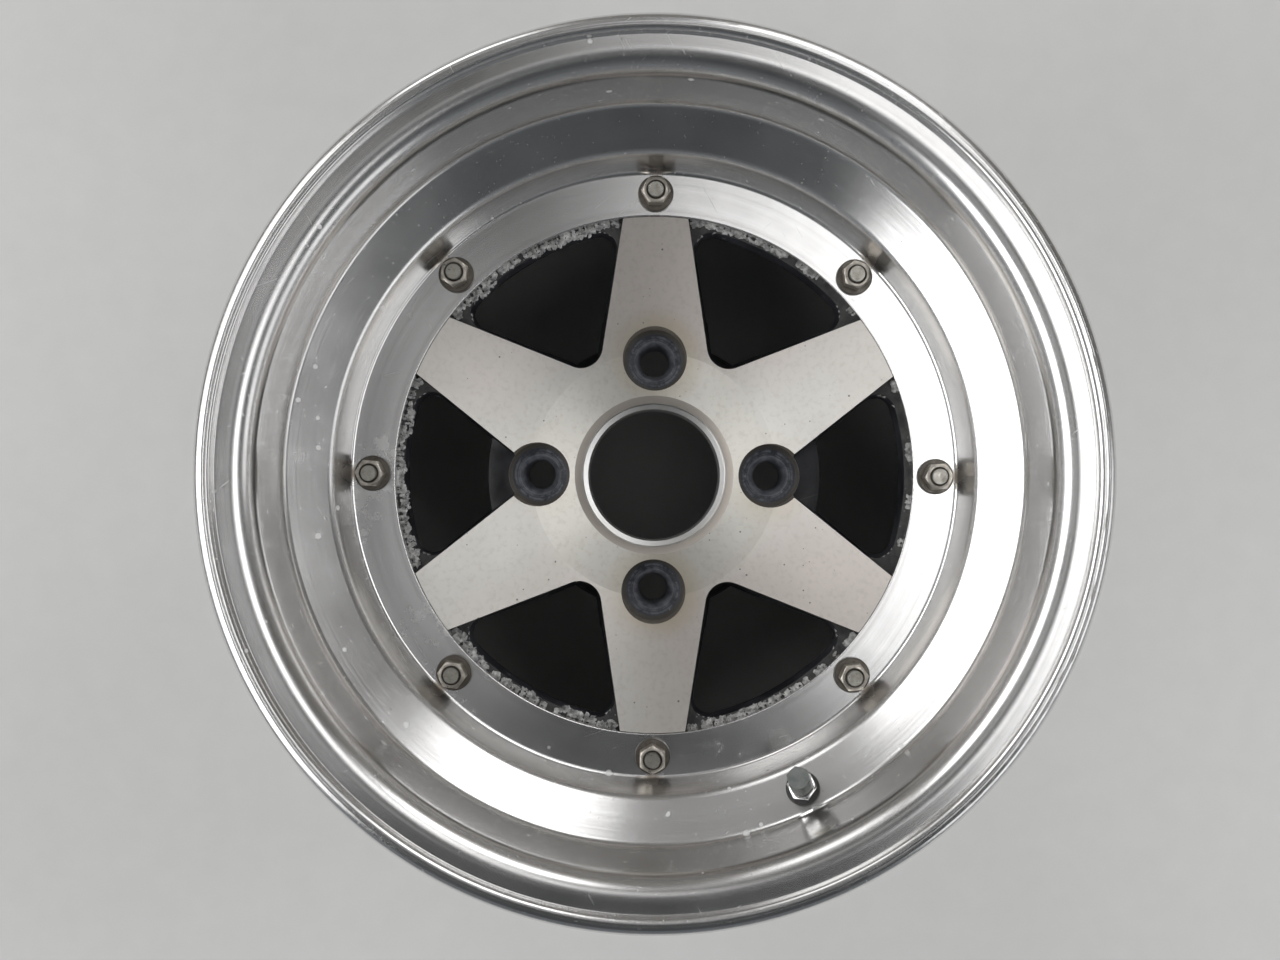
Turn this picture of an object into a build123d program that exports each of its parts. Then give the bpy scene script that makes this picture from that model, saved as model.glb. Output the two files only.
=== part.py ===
from build123d import *
import os
from math import acos, cos, hypot, radians, sin, sqrt, tan

# Split rim wheel lying face up: two rim halves clamp the ring of a cast six-spoke centre disc.
# Millimetres. The wheel's axis is Z, +Z points out of the street side, and the origin is the
# centre of the face that seats on the hub.

# Overall width across the two rim edges, and the part of it in front of the disc's ring
RIM_WIDTH = 200.8
OUTER_DEPTH = 71.5

# Rim section, shared by both halves and set out from the tyre's bead seat
BEAD_SEAT_D = 354.8
BEAD_SEAT_WIDTH = 20.0
BEAD_SEAT_TAPER = 5.0
TYRE_FLANGE_HEIGHT = 17.6
TYRE_FLANGE_WIDTH = 11.5
BEAD_LIP_WIDTH = 7.6
BEAD_LIP_RISE = 3.3
BEAD_LIP_LEAN = 1.2
LIP_FACE_RISE = 0.6
BARREL_WALL = 6.2
BARREL_DRAFT = 0.3
STEP_WALL = 4.0
WELL_DROP = 20.9
WELL_LEAN = 6.2
BOLT_FLANGE = 5.5

# Rounding along the rim section
BORE_EDGE_FILLET = 0.6
FOOT_FILLET = 2.5
STEP_TOP_FILLET = 6.5
STEP_CORNER_FILLET = 4.0
LIP_BEND_FILLET = 10.0
LIP_CREASE_FILLET = 0.5
BEAD_INNER_FILLET = 2.5
BEAD_OUTER_FILLET = 4.5
FLANGE_BACK_FILLET = 6.5
BEAD_CORNER_FILLET = 6.5
SEAT_END_FILLET = 5.0
WELL_CORNER_FILLET = 6.0
SEAM_FILLET = 10.0

# What differs between the halves: wall and length of the well, slope of the step
OUTER_WELL_WALL = 4.9
OUTER_WELL_LENGTH = 7.0
OUTER_STEP_ANGLE = 29.9
INNER_WELL_WALL = 4.0
INNER_WELL_LENGTH = 26.0
INNER_STEP_ANGLE = 60.0

# Clamping bolts
BOLTS = 8
BOLT_TO_WELL = 10.4
BOLT_TO_BORE = 10.5
BOLT_D = 8.0
BOLT_END = 1.2
BOLT_END_CHAMFER = 0.5
HEX_FLATS = 12.0
HEX_SIDES = 6
HEX_LAND_INSET = 0.25
HEX_CHAMFER_ANGLE = 30.0
NUT_HEIGHT = 6.5
HEAD_HEIGHT = 5.3
WASHER_D = 17.0
WASHER_THICKNESS = 2.0
NUT_TURNS = (4.0, -6.0, 30.0, 12.0, -3.0, 8.0, 0.0, -9.0)

# Centre disc
SPOKES = 6
HUB_THICKNESS = 30.0
HUB_FACE_R = 60.5
HUB_BACK_R = 70.0
HUB_PAD_R = 83.0
HUB_PAD_STEP = 8.0
PAD_EDGE_FILLET = 2.0
SPOKE_END_WIDTH = 32.4
SPOKE_END_DROP = 0.5
SPOKE_FLARE = 8.0
SPOKE_REAR_INSET = 6.5
RING_REAR_Z = 27.5
RING_THICKNESS = 8.0
RING_EDGE = 0.5
WINDOW_LEDGE = 3.0
WINDOW_TIP_FILLET = 11.4
WINDOW_CORNER_FILLET = 9.0
WINDOW_DRAFT = 7.5

# Hub bore and centre cap seat
BORE_D = 66.2
CAP_SEAT_STEP = 2.3
CAP_SEAT_DEPTH = 8.0
BORE_CHAMFER = 3.6

# Lug holes
LUGS = 4
LUG_PCD = 114.3
LUG_HOLE_D = 14.5
LUG_SEAT_WIDTH = 2.75
LUG_SEAT_ANGLE = 60.0
LUG_LEDGE = 2.2
LUG_LEDGE_DEPTH = 1.0
LUG_POCKET_D = 31.5
LUG_POCKET_DEPTH = 11.5
LUG_SHELF_RISE = 0.5

# Clamp-in tyre valve in the step of the outer half
VALVE_ANGLE = -64.3
VALVE_HOLE_D = 11.5
VALVE_SPOT_D = 17.0
VALVE_SPOT_DEPTH = 0.15
VALVE_STEM_D = 8.0
VALVE_LENGTH = 21.0
VALVE_BORE_D = 3.0
VALVE_CORE_D = 5.2
VALVE_CORE_DEPTH = 12.0
VALVE_CORE_LENGTH = 6.0
VALVE_PIN_D = 1.6
VALVE_FOOT_D = 15.0
VALVE_FOOT_THICKNESS = 2.0
GROMMET_D = 16.0
GROMMET_THICKNESS = 2.5
VALVE_WASHER_D = 15.8
VALVE_WASHER_THICKNESS = 1.8
VALVE_NUT_HEIGHT = 5.0
CAP_WALL = 0.75
CAP_COVER = 11.0
CAP_HEADROOM = 1.0
CAP_TOP_WALL = 2.0
CAP_CORNER_INSET = 0.2
CAP_END_CHAMFER = 0.5
CAP_TURN = -12.0

# Sealant in the seam between the halves
SEALANT_RECESS = 2.4

# Clearances
SPIGOT_CLEARANCE = 0.2
BOLT_CLEARANCE = 0.2
THREAD_CLEARANCE = 0.05
VALVE_CLEARANCE = 0.1
SEALANT_CLEARANCE = 0.1
CUT = 10.0

BEAD_SEAT_R = BEAD_SEAT_D / 2
RIM_R = BEAD_SEAT_R + TYRE_FLANGE_HEIGHT
BARREL_R = BEAD_SEAT_R - BARREL_WALL
WELL_OUTER_R = BEAD_SEAT_R - WELL_DROP
OUTER_WELL_R = WELL_OUTER_R - OUTER_WELL_WALL
OUTER_WELL_END = SEAM_FILLET + OUTER_WELL_LENGTH
INNER_WELL_R = WELL_OUTER_R - INNER_WELL_WALL
INNER_WELL_END = SEAM_FILLET + INNER_WELL_LENGTH
INNER_DEPTH = RIM_WIDTH - RING_THICKNESS - OUTER_DEPTH
WELL_FOOT_R = OUTER_WELL_R - WELL_LEAN
BOLT_R = WELL_FOOT_R - BOLT_TO_WELL
RIM_BORE_R = BOLT_R - BOLT_TO_BORE
SPIGOT_R = RIM_BORE_R - SPIGOT_CLEARANCE
RING_OUTER_R = WELL_OUTER_R - SEAM_FILLET + RING_EDGE
RING_FRONT_Z = RING_REAR_Z + RING_THICKNESS
SPOKE_END_Z = RING_FRONT_Z + BOLT_FLANGE - SPOKE_END_DROP
NUT_FACE_Z = RING_FRONT_Z + BOLT_FLANGE
HEAD_FACE_Z = RING_REAR_Z - BOLT_FLANGE
BOLT_TOP_Z = NUT_FACE_Z + WASHER_THICKNESS + NUT_HEIGHT + BOLT_END


def fitted_roundings(rows):
    """Corner radii of a closed section, each kept short enough for the two sides that it joins."""
    count = len(rows)
    reach = []
    for i, (x, y, rounding) in enumerate(rows):
        before = (rows[i - 1][0] - x, rows[i - 1][1] - y)
        after = (rows[(i + 1) % count][0] - x, rows[(i + 1) % count][1] - y)
        dot = before[0] * after[0] + before[1] * after[1]
        opening = acos(dot / hypot(*before) / hypot(*after))
        reach.append(rounding / tan(opening / 2))
    room = []
    for i, (x, y, _) in enumerate(rows):
        side = hypot(rows[i - 1][0] - x, rows[i - 1][1] - y)
        used = reach[i - 1] + reach[i]
        room.append(min(1, 0.98 * side / used) if used else 1)
    return [row[2] * min(room[i], room[(i + 1) % count]) for i, row in enumerate(rows)]


def ring_solid(rows):
    """Turn a section about the wheel's axis; each row is radius, height and corner radius."""
    corners = [(radius, height) for radius, height, _ in rows]
    section = make_face(FilletPolyline(*corners, radius=fitted_roundings(rows), close=True))
    return revolve(Plane.XZ * section, Axis.Z)


def rod(diameter, start, end):
    """Round bar along Z between two heights."""
    bar = Cylinder(diameter / 2, end - start, align=(Align.CENTER, Align.CENTER, Align.MIN))
    return Pos(0, 0, start) * bar


def tube(outer_d, inner_d, start, end):
    """Round sleeve or washer along Z between two heights."""
    return rod(outer_d, start, end) - rod(inner_d, start - CUT, end + CUT)


def hexagon(start, end, turn=0.0):
    """Hexagon bar along Z with the corners turned off at both ends."""
    height = end - start
    corner_r = HEX_FLATS / 2 / cos(radians(180 / HEX_SIDES))
    land_r = HEX_FLATS / 2 - HEX_LAND_INSET
    slope = (corner_r - land_r) * tan(radians(HEX_CHAMFER_ANGLE))
    bar = extrude(RegularPolygon(HEX_FLATS / 2, HEX_SIDES, major_radius=False, rotation=turn), height)
    turned = ring_solid([
        (0, 0, 0),
        (land_r, 0, 0),
        (corner_r, slope, 0),
        (corner_r, height - slope, 0),
        (land_r, height, 0),
        (0, height, 0),
    ])
    return Pos(0, 0, start) * (bar & turned)


def bolt_circle():
    """Places of the clamping bolts around the wheel."""
    return list(PolarLocations(BOLT_R, BOLTS))


def rim_half(depth, well_r, well_end, step_angle):
    """One rim half with its bolting face on z = 0 and its rim edge at that depth above it."""
    slope = tan(radians(step_angle))
    wall_drop = STEP_WALL / cos(radians(step_angle))
    step_top = well_end + (BARREL_R - well_r) * slope
    crease = depth - BEAD_LIP_RISE
    seat_top = depth - TYRE_FLANGE_WIDTH
    seat_end_r = BEAD_SEAT_R - BEAD_SEAT_WIDTH * tan(radians(BEAD_SEAT_TAPER))
    bead_in_r = RIM_R - BEAD_LIP_WIDTH
    half = ring_solid([
        (RIM_BORE_R, 0, 0),
        (RIM_BORE_R, BOLT_FLANGE, BORE_EDGE_FILLET),
        (WELL_FOOT_R, BOLT_FLANGE, FOOT_FILLET),
        (well_r, well_end, STEP_TOP_FILLET),
        (BARREL_R, step_top, STEP_CORNER_FILLET),
        (BARREL_R + BARREL_DRAFT, crease - LIP_FACE_RISE, LIP_BEND_FILLET),
        (bead_in_r - BEAD_LIP_LEAN, crease, LIP_CREASE_FILLET),
        (bead_in_r, depth, BEAD_INNER_FILLET),
        (RIM_R, depth, BEAD_OUTER_FILLET),
        (RIM_R, seat_top, FLANGE_BACK_FILLET),
        (BEAD_SEAT_R, seat_top, BEAD_CORNER_FILLET),
        (seat_end_r, seat_top - BEAD_SEAT_WIDTH, 0),
        (seat_end_r, well_end + (seat_end_r - well_r) * slope - wall_drop, SEAT_END_FILLET),
        (WELL_OUTER_R, well_end + (WELL_OUTER_R - well_r) * slope - wall_drop, WELL_CORNER_FILLET),
        (WELL_OUTER_R, 0, SEAM_FILLET),
    ])
    for place in bolt_circle():
        half -= place * rod(BOLT_D + 2 * BOLT_CLEARANCE, -CUT, BOLT_FLANGE + CUT)
    return half


def valve_frame():
    """Place of the valve: half way up the step of the outer half, square to its slope."""
    middle_r = (OUTER_WELL_R + BARREL_R) / 2
    rise = (middle_r - OUTER_WELL_R) * tan(radians(OUTER_STEP_ANGLE))
    on_step = Pos(middle_r, 0, RING_FRONT_Z + OUTER_WELL_END + rise)
    return Rot(0, 0, VALVE_ANGLE) * on_step * Rot(0, -OUTER_STEP_ANGLE, 0)


def outer_rim_half():
    half = rim_half(OUTER_DEPTH, OUTER_WELL_R, OUTER_WELL_END, OUTER_STEP_ANGLE)
    valve_cuts = rod(VALVE_HOLE_D, -STEP_WALL - CUT, CUT)
    valve_cuts += rod(VALVE_SPOT_D, -VALVE_SPOT_DEPTH, CUT)
    valve_cuts += rod(VALVE_SPOT_D, -STEP_WALL - CUT, VALVE_SPOT_DEPTH - STEP_WALL)
    return Pos(0, 0, RING_FRONT_Z) * half - valve_frame() * valve_cuts


def inner_rim_half():
    half = rim_half(INNER_DEPTH, INNER_WELL_R, INNER_WELL_END, INNER_STEP_ANGLE)
    return Pos(0, 0, RING_REAR_Z) * Rot(180, 0, 0) * half


def window_face(outer_r):
    """Gap between two spokes at the ring's front face, centred on +X, with a rounded tip."""
    flare = radians(SPOKE_FLARE)
    edge_angle = radians(180 / SPOKES) + flare
    spoke_half = SPOKE_END_WIDTH / 2 + SPIGOT_R * tan(flare)
    tip_x = spoke_half * cos(flare) / sin(edge_angle)
    run = sqrt(outer_r**2 - (tip_x * sin(edge_angle))**2) - tip_x * cos(edge_angle)
    corner_x = tip_x + run * cos(edge_angle)
    corner_y = run * sin(edge_angle)
    gap = make_face([
        Line((tip_x, 0), (corner_x, corner_y)),
        ThreePointArc((corner_x, corner_y), (outer_r, 0), (corner_x, -corner_y)),
        Line((corner_x, -corner_y), (tip_x, 0)),
    ])
    return fillet(gap.vertices().sort_by(Axis.X)[0], WINDOW_TIP_FILLET)


def window_cut():
    """Drafted opening between two spokes: rounded corners in the ring, sharp ones above it."""
    lower = window_face(RIM_BORE_R - WINDOW_LEDGE)
    lower = fillet(lower.vertices().sort_by(Axis.X)[-2:], WINDOW_CORNER_FILLET)
    upper = window_face(RIM_BORE_R + CUT)
    below = Pos(0, 0, RING_FRONT_Z) * extrude(lower, -RING_FRONT_Z, taper=WINDOW_DRAFT)
    above = Pos(0, 0, RING_FRONT_Z) * extrude(upper, BOLT_FLANGE + CUT, taper=-WINDOW_DRAFT)
    hub = ring_solid([
        (0, 0, 0),
        (HUB_BACK_R, 0, 0),
        (HUB_FACE_R, HUB_THICKNESS, 0),
        (0, HUB_THICKNESS, 0),
    ])
    return below - hub + above


def lug_cut():
    """Lug hole: pocket, turned floor, conical seat for the nut and the hole through."""
    pocket_z = HUB_THICKNESS - LUG_POCKET_DEPTH
    floor_z = pocket_z - LUG_LEDGE_DEPTH
    pocket_r = LUG_POCKET_D / 2
    hole_r = LUG_HOLE_D / 2
    seat_depth = LUG_SEAT_WIDTH / tan(radians(LUG_SEAT_ANGLE / 2))
    return ring_solid([
        (0, -CUT, 0),
        (hole_r, -CUT, 0),
        (hole_r, floor_z - seat_depth, 0),
        (hole_r + LUG_SEAT_WIDTH, floor_z, 0),
        (pocket_r - LUG_LEDGE, floor_z, 0),
        (pocket_r - LUG_LEDGE, pocket_z, 0),
        (pocket_r, pocket_z, 0),
        (pocket_r, HUB_THICKNESS + CUT, 0),
        (0, HUB_THICKNESS + CUT, 0),
    ])


def centre_disc():
    bore_r = BORE_D / 2
    cap_r = bore_r + CAP_SEAT_STEP
    chamfer_z = HUB_THICKNESS - BORE_CHAMFER
    disc = ring_solid([
        (bore_r, 0, 0),
        (bore_r, chamfer_z - CAP_SEAT_DEPTH, 0),
        (cap_r, chamfer_z - CAP_SEAT_DEPTH, 0),
        (cap_r, chamfer_z, 0),
        (cap_r + BORE_CHAMFER, HUB_THICKNESS, 0),
        (HUB_FACE_R, HUB_THICKNESS, 0),
        (SPIGOT_R, SPOKE_END_Z, 0),
        (SPIGOT_R, RING_FRONT_Z, 0),
        (RING_OUTER_R, RING_FRONT_Z, 0),
        (RING_OUTER_R, RING_REAR_Z, 0),
        (RIM_BORE_R - SPOKE_REAR_INSET, RING_REAR_Z, 0),
        (HUB_PAD_R, HUB_PAD_STEP, PAD_EDGE_FILLET),
        (HUB_PAD_R, 0, PAD_EDGE_FILLET),
    ])
    window = window_cut()
    shelf_z = HUB_THICKNESS - LUG_POCKET_DEPTH + LUG_SHELF_RISE
    window_behind_lug = window - tube(2 * HUB_PAD_R, BORE_D, -CUT, shelf_z)
    for index in range(SPOKES):
        angle = index * 360 / SPOKES
        meets_lug = angle % (360 / LUGS) == 0
        disc -= Rot(0, 0, angle) * (window_behind_lug if meets_lug else window)
    for place in PolarLocations(LUG_PCD / 2, LUGS):
        disc -= place * lug_cut()
    for place in bolt_circle():
        disc -= place * rod(BOLT_D + 2 * BOLT_CLEARANCE, 0, RING_FRONT_Z + CUT)
    return disc


def rim_sealant():
    """Bead of sealant that fills the seam groove between the two rounded well edges."""
    inner_r = RING_OUTER_R + SEALANT_CLEARANCE
    outer_r = WELL_OUTER_R - SEALANT_RECESS
    middle_r = (inner_r + outer_r) / 2
    round_r = WELL_OUTER_R - SEAM_FILLET
    bead_r = SEAM_FILLET + SEALANT_CLEARANCE
    rises = {r: SEAM_FILLET - sqrt(bead_r**2 - (r - round_r)**2) for r in (inner_r, middle_r, outer_r)}
    front = [(r, RING_FRONT_Z + rise) for r, rise in rises.items()]
    rear = [(r, RING_REAR_Z - rise) for r, rise in rises.items()]
    section = make_face([
        ThreePointArc(*front),
        Line(front[-1], rear[-1]),
        ThreePointArc(*reversed(rear)),
        Line(rear[0], front[0]),
    ])
    return revolve(Plane.XZ * section, Axis.Z)


def assembly_bolt():
    seat = HEAD_FACE_Z - WASHER_THICKNESS
    shank = chamfer(rod(BOLT_D, seat, BOLT_TOP_Z).edges().sort_by(Axis.Z)[-1], BOLT_END_CHAMFER)
    return shank + hexagon(seat - HEAD_HEIGHT, seat)


def assembly_nut(turn):
    start = NUT_FACE_Z + WASHER_THICKNESS
    end = start + NUT_HEIGHT
    return hexagon(start, end, turn) - rod(BOLT_D + 2 * THREAD_CLEARANCE, start - CUT, end + CUT)


def washer(start):
    return tube(WASHER_D, BOLT_D + 2 * BOLT_CLEARANCE, start, start + WASHER_THICKNESS)


# The valve's pieces stand on z = 0, the street side of the step's wall.
GROMMET_SEAT = VALVE_SPOT_DEPTH - STEP_WALL
FOOT_SEAT = GROMMET_SEAT - GROMMET_THICKNESS
VALVE_NUT_SEAT = VALVE_WASHER_THICKNESS - VALVE_SPOT_DEPTH


def valve_stem():
    foot_end = FOOT_SEAT - VALVE_FOOT_THICKNESS
    stem = rod(VALVE_STEM_D, foot_end, VALVE_LENGTH) + rod(VALVE_FOOT_D, foot_end, FOOT_SEAT)
    stem -= rod(VALVE_BORE_D, foot_end - CUT, VALVE_LENGTH + CUT)
    return stem - rod(VALVE_CORE_D, VALVE_LENGTH - VALVE_CORE_DEPTH, VALVE_LENGTH + CUT)


def valve_core():
    seat = VALVE_LENGTH - VALVE_CORE_DEPTH
    body = rod(VALVE_CORE_D - 2 * THREAD_CLEARANCE, seat, seat + VALVE_CORE_LENGTH)
    return body + rod(VALVE_PIN_D, seat, VALVE_LENGTH)


def valve_grommet():
    flange = rod(GROMMET_D, FOOT_SEAT, GROMMET_SEAT)
    sleeve = rod(VALVE_HOLE_D - 2 * VALVE_CLEARANCE, GROMMET_SEAT, -VALVE_SPOT_DEPTH - VALVE_CLEARANCE)
    return flange + sleeve - rod(VALVE_STEM_D + 2 * THREAD_CLEARANCE, FOOT_SEAT - CUT, CUT)


def valve_washer():
    return tube(VALVE_WASHER_D, VALVE_STEM_D + 2 * VALVE_CLEARANCE, -VALVE_SPOT_DEPTH, VALVE_NUT_SEAT)


def valve_nut():
    end = VALVE_NUT_SEAT + VALVE_NUT_HEIGHT
    hole = rod(VALVE_STEM_D + 2 * THREAD_CLEARANCE, VALVE_NUT_SEAT - CUT, end + CUT)
    return hexagon(VALVE_NUT_SEAT, end) - hole


def valve_cap():
    """Hexagon cap with its corners turned off and a hollow for the end of the stem."""
    start = VALVE_LENGTH - CAP_COVER
    end = VALVE_LENGTH + CAP_HEADROOM + CAP_TOP_WALL
    bore_d = VALVE_STEM_D + 2 * THREAD_CLEARANCE
    flat_r = bore_d / 2 + CAP_WALL
    turned_r = flat_r / cos(radians(180 / HEX_SIDES)) - CAP_CORNER_INSET
    bar = extrude(RegularPolygon(flat_r, HEX_SIDES, major_radius=False, rotation=CAP_TURN), end - start)
    turned = ring_solid([
        (0, start, 0),
        (turned_r, start, 0),
        (turned_r, end - CAP_END_CHAMFER, 0),
        (turned_r - CAP_END_CHAMFER, end, 0),
        (0, end, 0),
    ])
    cap = Pos(0, 0, start) * bar & turned
    return cap - rod(bore_d, start - CUT, end - CAP_TOP_WALL)


bolts = bolt_circle()
turns = [NUT_TURNS[index % len(NUT_TURNS)] for index in range(BOLTS)]
valve = valve_frame()

nodes = {
    "outer_rim_half": outer_rim_half(),
    "inner_rim_half": inner_rim_half(),
    "centre_disc": centre_disc(),
    "rim_sealant": rim_sealant(),
    "assembly_bolts": Compound([place * assembly_bolt() for place in bolts]),
    "assembly_nuts": Compound([place * assembly_nut(turn) for place, turn in zip(bolts, turns)]),
    "nut_washers": Compound([place * washer(NUT_FACE_Z) for place in bolts]),
    "head_washers": Compound([place * washer(HEAD_FACE_Z - WASHER_THICKNESS) for place in bolts]),
    "valve_stem": valve * valve_stem(),
    "valve_core": valve * valve_core(),
    "valve_grommet": valve * valve_grommet(),
    "valve_washer": valve * valve_washer(),
    "valve_nut": valve * valve_nut(),
    "valve_cap": valve * valve_cap(),
}

os.makedirs("parts", exist_ok=True)
for name, shape in nodes.items():
    export_step(shape, f"parts/{name}.step")
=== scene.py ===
from math import acos, ceil, cos, hypot, pi, radians, sin, tan

import bmesh
import bpy
from mathutils import Matrix, Vector


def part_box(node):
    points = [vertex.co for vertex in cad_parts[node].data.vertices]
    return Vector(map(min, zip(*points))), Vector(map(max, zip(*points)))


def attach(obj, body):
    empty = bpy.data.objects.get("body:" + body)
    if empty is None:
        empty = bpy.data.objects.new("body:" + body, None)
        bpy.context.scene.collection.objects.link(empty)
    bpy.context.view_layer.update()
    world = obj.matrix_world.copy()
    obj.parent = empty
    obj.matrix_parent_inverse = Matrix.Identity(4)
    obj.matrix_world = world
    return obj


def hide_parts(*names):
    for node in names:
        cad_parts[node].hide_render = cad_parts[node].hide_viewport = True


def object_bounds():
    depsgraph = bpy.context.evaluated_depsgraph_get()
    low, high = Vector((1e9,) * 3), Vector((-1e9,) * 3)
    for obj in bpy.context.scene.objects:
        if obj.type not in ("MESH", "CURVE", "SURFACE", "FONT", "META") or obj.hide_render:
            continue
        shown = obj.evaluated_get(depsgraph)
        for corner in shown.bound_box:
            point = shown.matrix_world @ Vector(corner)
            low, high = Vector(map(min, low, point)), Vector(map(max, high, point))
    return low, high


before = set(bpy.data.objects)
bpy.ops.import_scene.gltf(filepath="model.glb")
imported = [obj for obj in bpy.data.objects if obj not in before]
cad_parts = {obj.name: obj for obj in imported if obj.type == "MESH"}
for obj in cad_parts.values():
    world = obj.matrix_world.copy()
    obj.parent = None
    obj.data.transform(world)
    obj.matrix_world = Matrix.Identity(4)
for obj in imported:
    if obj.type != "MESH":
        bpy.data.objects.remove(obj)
cad_box = [list(corner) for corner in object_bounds()]


# Inner rim half: the spun aluminium barrel behind the disc, dull and stained by brake dust, its inner side
# painted near black as shade inside the wheel.
# Its section is turned about the wheel's axis, and its bolting flange carries the bolt heads.

MM = 0.001
RIM_R = cad_box[1][0] / MM
INNER_BOTTOM_Z = cad_box[0][2] / MM
INNER_TOP_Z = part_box("inner_rim_half")[1].z / MM
RIM_BORE_R = 124.5
BOLT_FLANGE = 5.5
WELL_FOOT_R = 145.4
BARREL_R = 171.2
BARREL_DRAFT = 0.3
BEAD_SEAT_R = 177.4
SEAT_END_R = 175.65
WELL_OUTER_R = 156.5
INNER_WELL_R = WELL_OUTER_R - 4.0
INNER_WELL_END = 36.0
INNER_STEP_ANGLE = 60.0
FLANGE_WIDTH = 11.5
BEAD_SEAT_WIDTH = 20.0
STEP_WALL = 4.0
BEAD_RISE = 3.3
BEAD_FOOT = 8.8
BEAD_LAND = 7.6
LIP_FALL = 0.6
FLANGE_EDGE_ROUND = 0.6
FOOT_ROUND = 2.5
STEP_TOP_ROUND = 6.5
STEP_CORNER_ROUND = 4.0
LIP_BEND_ROUND = 10.0
BEAD_FOOT_ROUND = 0.5
BEAD_LAND_ROUND = 2.5
RIM_EDGE_ROUND = 4.5
FLANGE_HOLLOW_ROUND = 6.5
SEAT_END_ROUND = 5.0
WELL_REAR_ROUND = 6.0
SEAM_ROUND = 10.0
RIM_SEGMENTS = 384


def fitted_roundings(rows):
    """Corner radii of a closed section, each kept short enough for the two sides that it joins."""
    count = len(rows)
    reach = []
    for i, (x, y, rounding) in enumerate(rows):
        before = (rows[i - 1][0] - x, rows[i - 1][1] - y)
        after = (rows[(i + 1) % count][0] - x, rows[(i + 1) % count][1] - y)
        dot = before[0] * after[0] + before[1] * after[1]
        opening = acos(dot / hypot(*before) / hypot(*after))
        reach.append(rounding / tan(opening / 2))
    room = []
    for i, (x, y, _) in enumerate(rows):
        side = hypot(rows[i - 1][0] - x, rows[i - 1][1] - y)
        used = reach[i - 1] + reach[i]
        room.append(min(1, 0.98 * side / used) if used else 1)
    return [row[2] * min(room[i], room[(i + 1) % count]) for i, row in enumerate(rows)]


def rounded_corner(before, corner, after, rounding, arc_step=8.0):
    """Points of the arc that rounds one corner of a section."""
    if not rounding:
        return [corner]
    into = (before - corner).normalized()
    out = (after - corner).normalized()
    half = into.angle(out) / 2
    centre = corner + (into + out).normalized() * rounding / sin(half)
    start = corner + into * rounding / tan(half) - centre
    end = corner + out * rounding / tan(half) - centre
    turn = start.angle_signed(end)
    steps = max(2, ceil(abs(turn) / radians(arc_step)))
    return [centre + Matrix.Rotation(-turn * i / steps, 2) @ start for i in range(steps + 1)]


def rounded_section(rows, edge_room=0.4, longest=4.0):
    """A closed section in metres from rows of radius, height and corner radius in mm.

    Straight sides get a point close to each end and further points between, so that they shade flat.
    """
    roundings = fitted_roundings(rows)
    corners = [Vector(row[:2]) for row in rows]
    count = len(rows)
    arcs = [
        rounded_corner(corners[i - 1], corners[i], corners[(i + 1) % count], roundings[i])
        for i in range(count)
    ]
    points = []
    for i, arc in enumerate(arcs):
        start = arc[-1]
        end = arcs[(i + 1) % count][0]
        side = (end - start).length
        inset = min(edge_room, side / 4)
        spans = ceil(max(side - 2 * inset, 0.1) / longest)
        shares = [(inset + (side - 2 * inset) * k / spans) / side for k in range(spans + 1)]
        points += arc + [start.lerp(end, share) for share in shares]
    return [(point.x * MM, 0, point.y * MM) for point in points]


def rim_section(depth, well_r, well_end, step_angle):
    """Section of a rim half with its bolting face on height 0 and its rim edge at that depth above it."""
    slope = tan(radians(step_angle))
    step_top = well_end + (BARREL_R - well_r) * slope
    seat_top = depth - FLANGE_WIDTH
    wall_drop = STEP_WALL / cos(radians(step_angle))
    return [
        (RIM_BORE_R, 0, 0),
        (RIM_BORE_R, BOLT_FLANGE, FLANGE_EDGE_ROUND),
        (WELL_FOOT_R, BOLT_FLANGE, FOOT_ROUND),
        (well_r, well_end, STEP_TOP_ROUND),
        (BARREL_R, step_top, STEP_CORNER_ROUND),
        (BARREL_R + BARREL_DRAFT, depth - BEAD_RISE - LIP_FALL, LIP_BEND_ROUND),
        (RIM_R - BEAD_FOOT, depth - BEAD_RISE, BEAD_FOOT_ROUND),
        (RIM_R - BEAD_LAND, depth, BEAD_LAND_ROUND),
        (RIM_R, depth, RIM_EDGE_ROUND),
        (RIM_R, seat_top, FLANGE_HOLLOW_ROUND),
        (BEAD_SEAT_R, seat_top, FLANGE_HOLLOW_ROUND),
        (SEAT_END_R, seat_top - BEAD_SEAT_WIDTH, 0),
        (SEAT_END_R, well_end + (SEAT_END_R - well_r) * slope - wall_drop, SEAT_END_ROUND),
        (WELL_OUTER_R, well_end + (WELL_OUTER_R - well_r) * slope - wall_drop, WELL_REAR_ROUND),
        (WELL_OUTER_R, 0, SEAM_ROUND),
    ]


def add_node(tree, kind, inputs=None, **settings):
    """One node in a tree, with its settings and its inputs, each a value or a link."""
    node = tree.nodes.new(kind)
    for name, value in settings.items():
        setattr(node, name, value)
    for key, value in (inputs or {}).items():
        if isinstance(value, bpy.types.NodeSocket):
            tree.links.new(value, node.inputs[key])
        else:
            node.inputs[key].default_value = value
    return node


def calc(tree, operation, *operands):
    """A sum on numbers inside a tree."""
    inputs = dict(enumerate(operands))
    return add_node(tree, "ShaderNodeMath", inputs, operation=operation).outputs[0]


def times(tree, first, second):
    """Two numbers multiplied inside a tree."""
    return calc(tree, "MULTIPLY", first, second)


def new_tree(name, kind, inputs, outputs):
    """An empty node group with named sockets; returns it with its input and output nodes."""
    tree = bpy.data.node_groups.new(name, kind)
    for title, socket in inputs.items():
        tree.interface.new_socket(title, in_out="INPUT", socket_type=socket)
    for title, socket in outputs.items():
        tree.interface.new_socket(title, in_out="OUTPUT", socket_type=socket)
    return tree, tree.nodes.new("NodeGroupInput").outputs, tree.nodes.new("NodeGroupOutput").inputs


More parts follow.
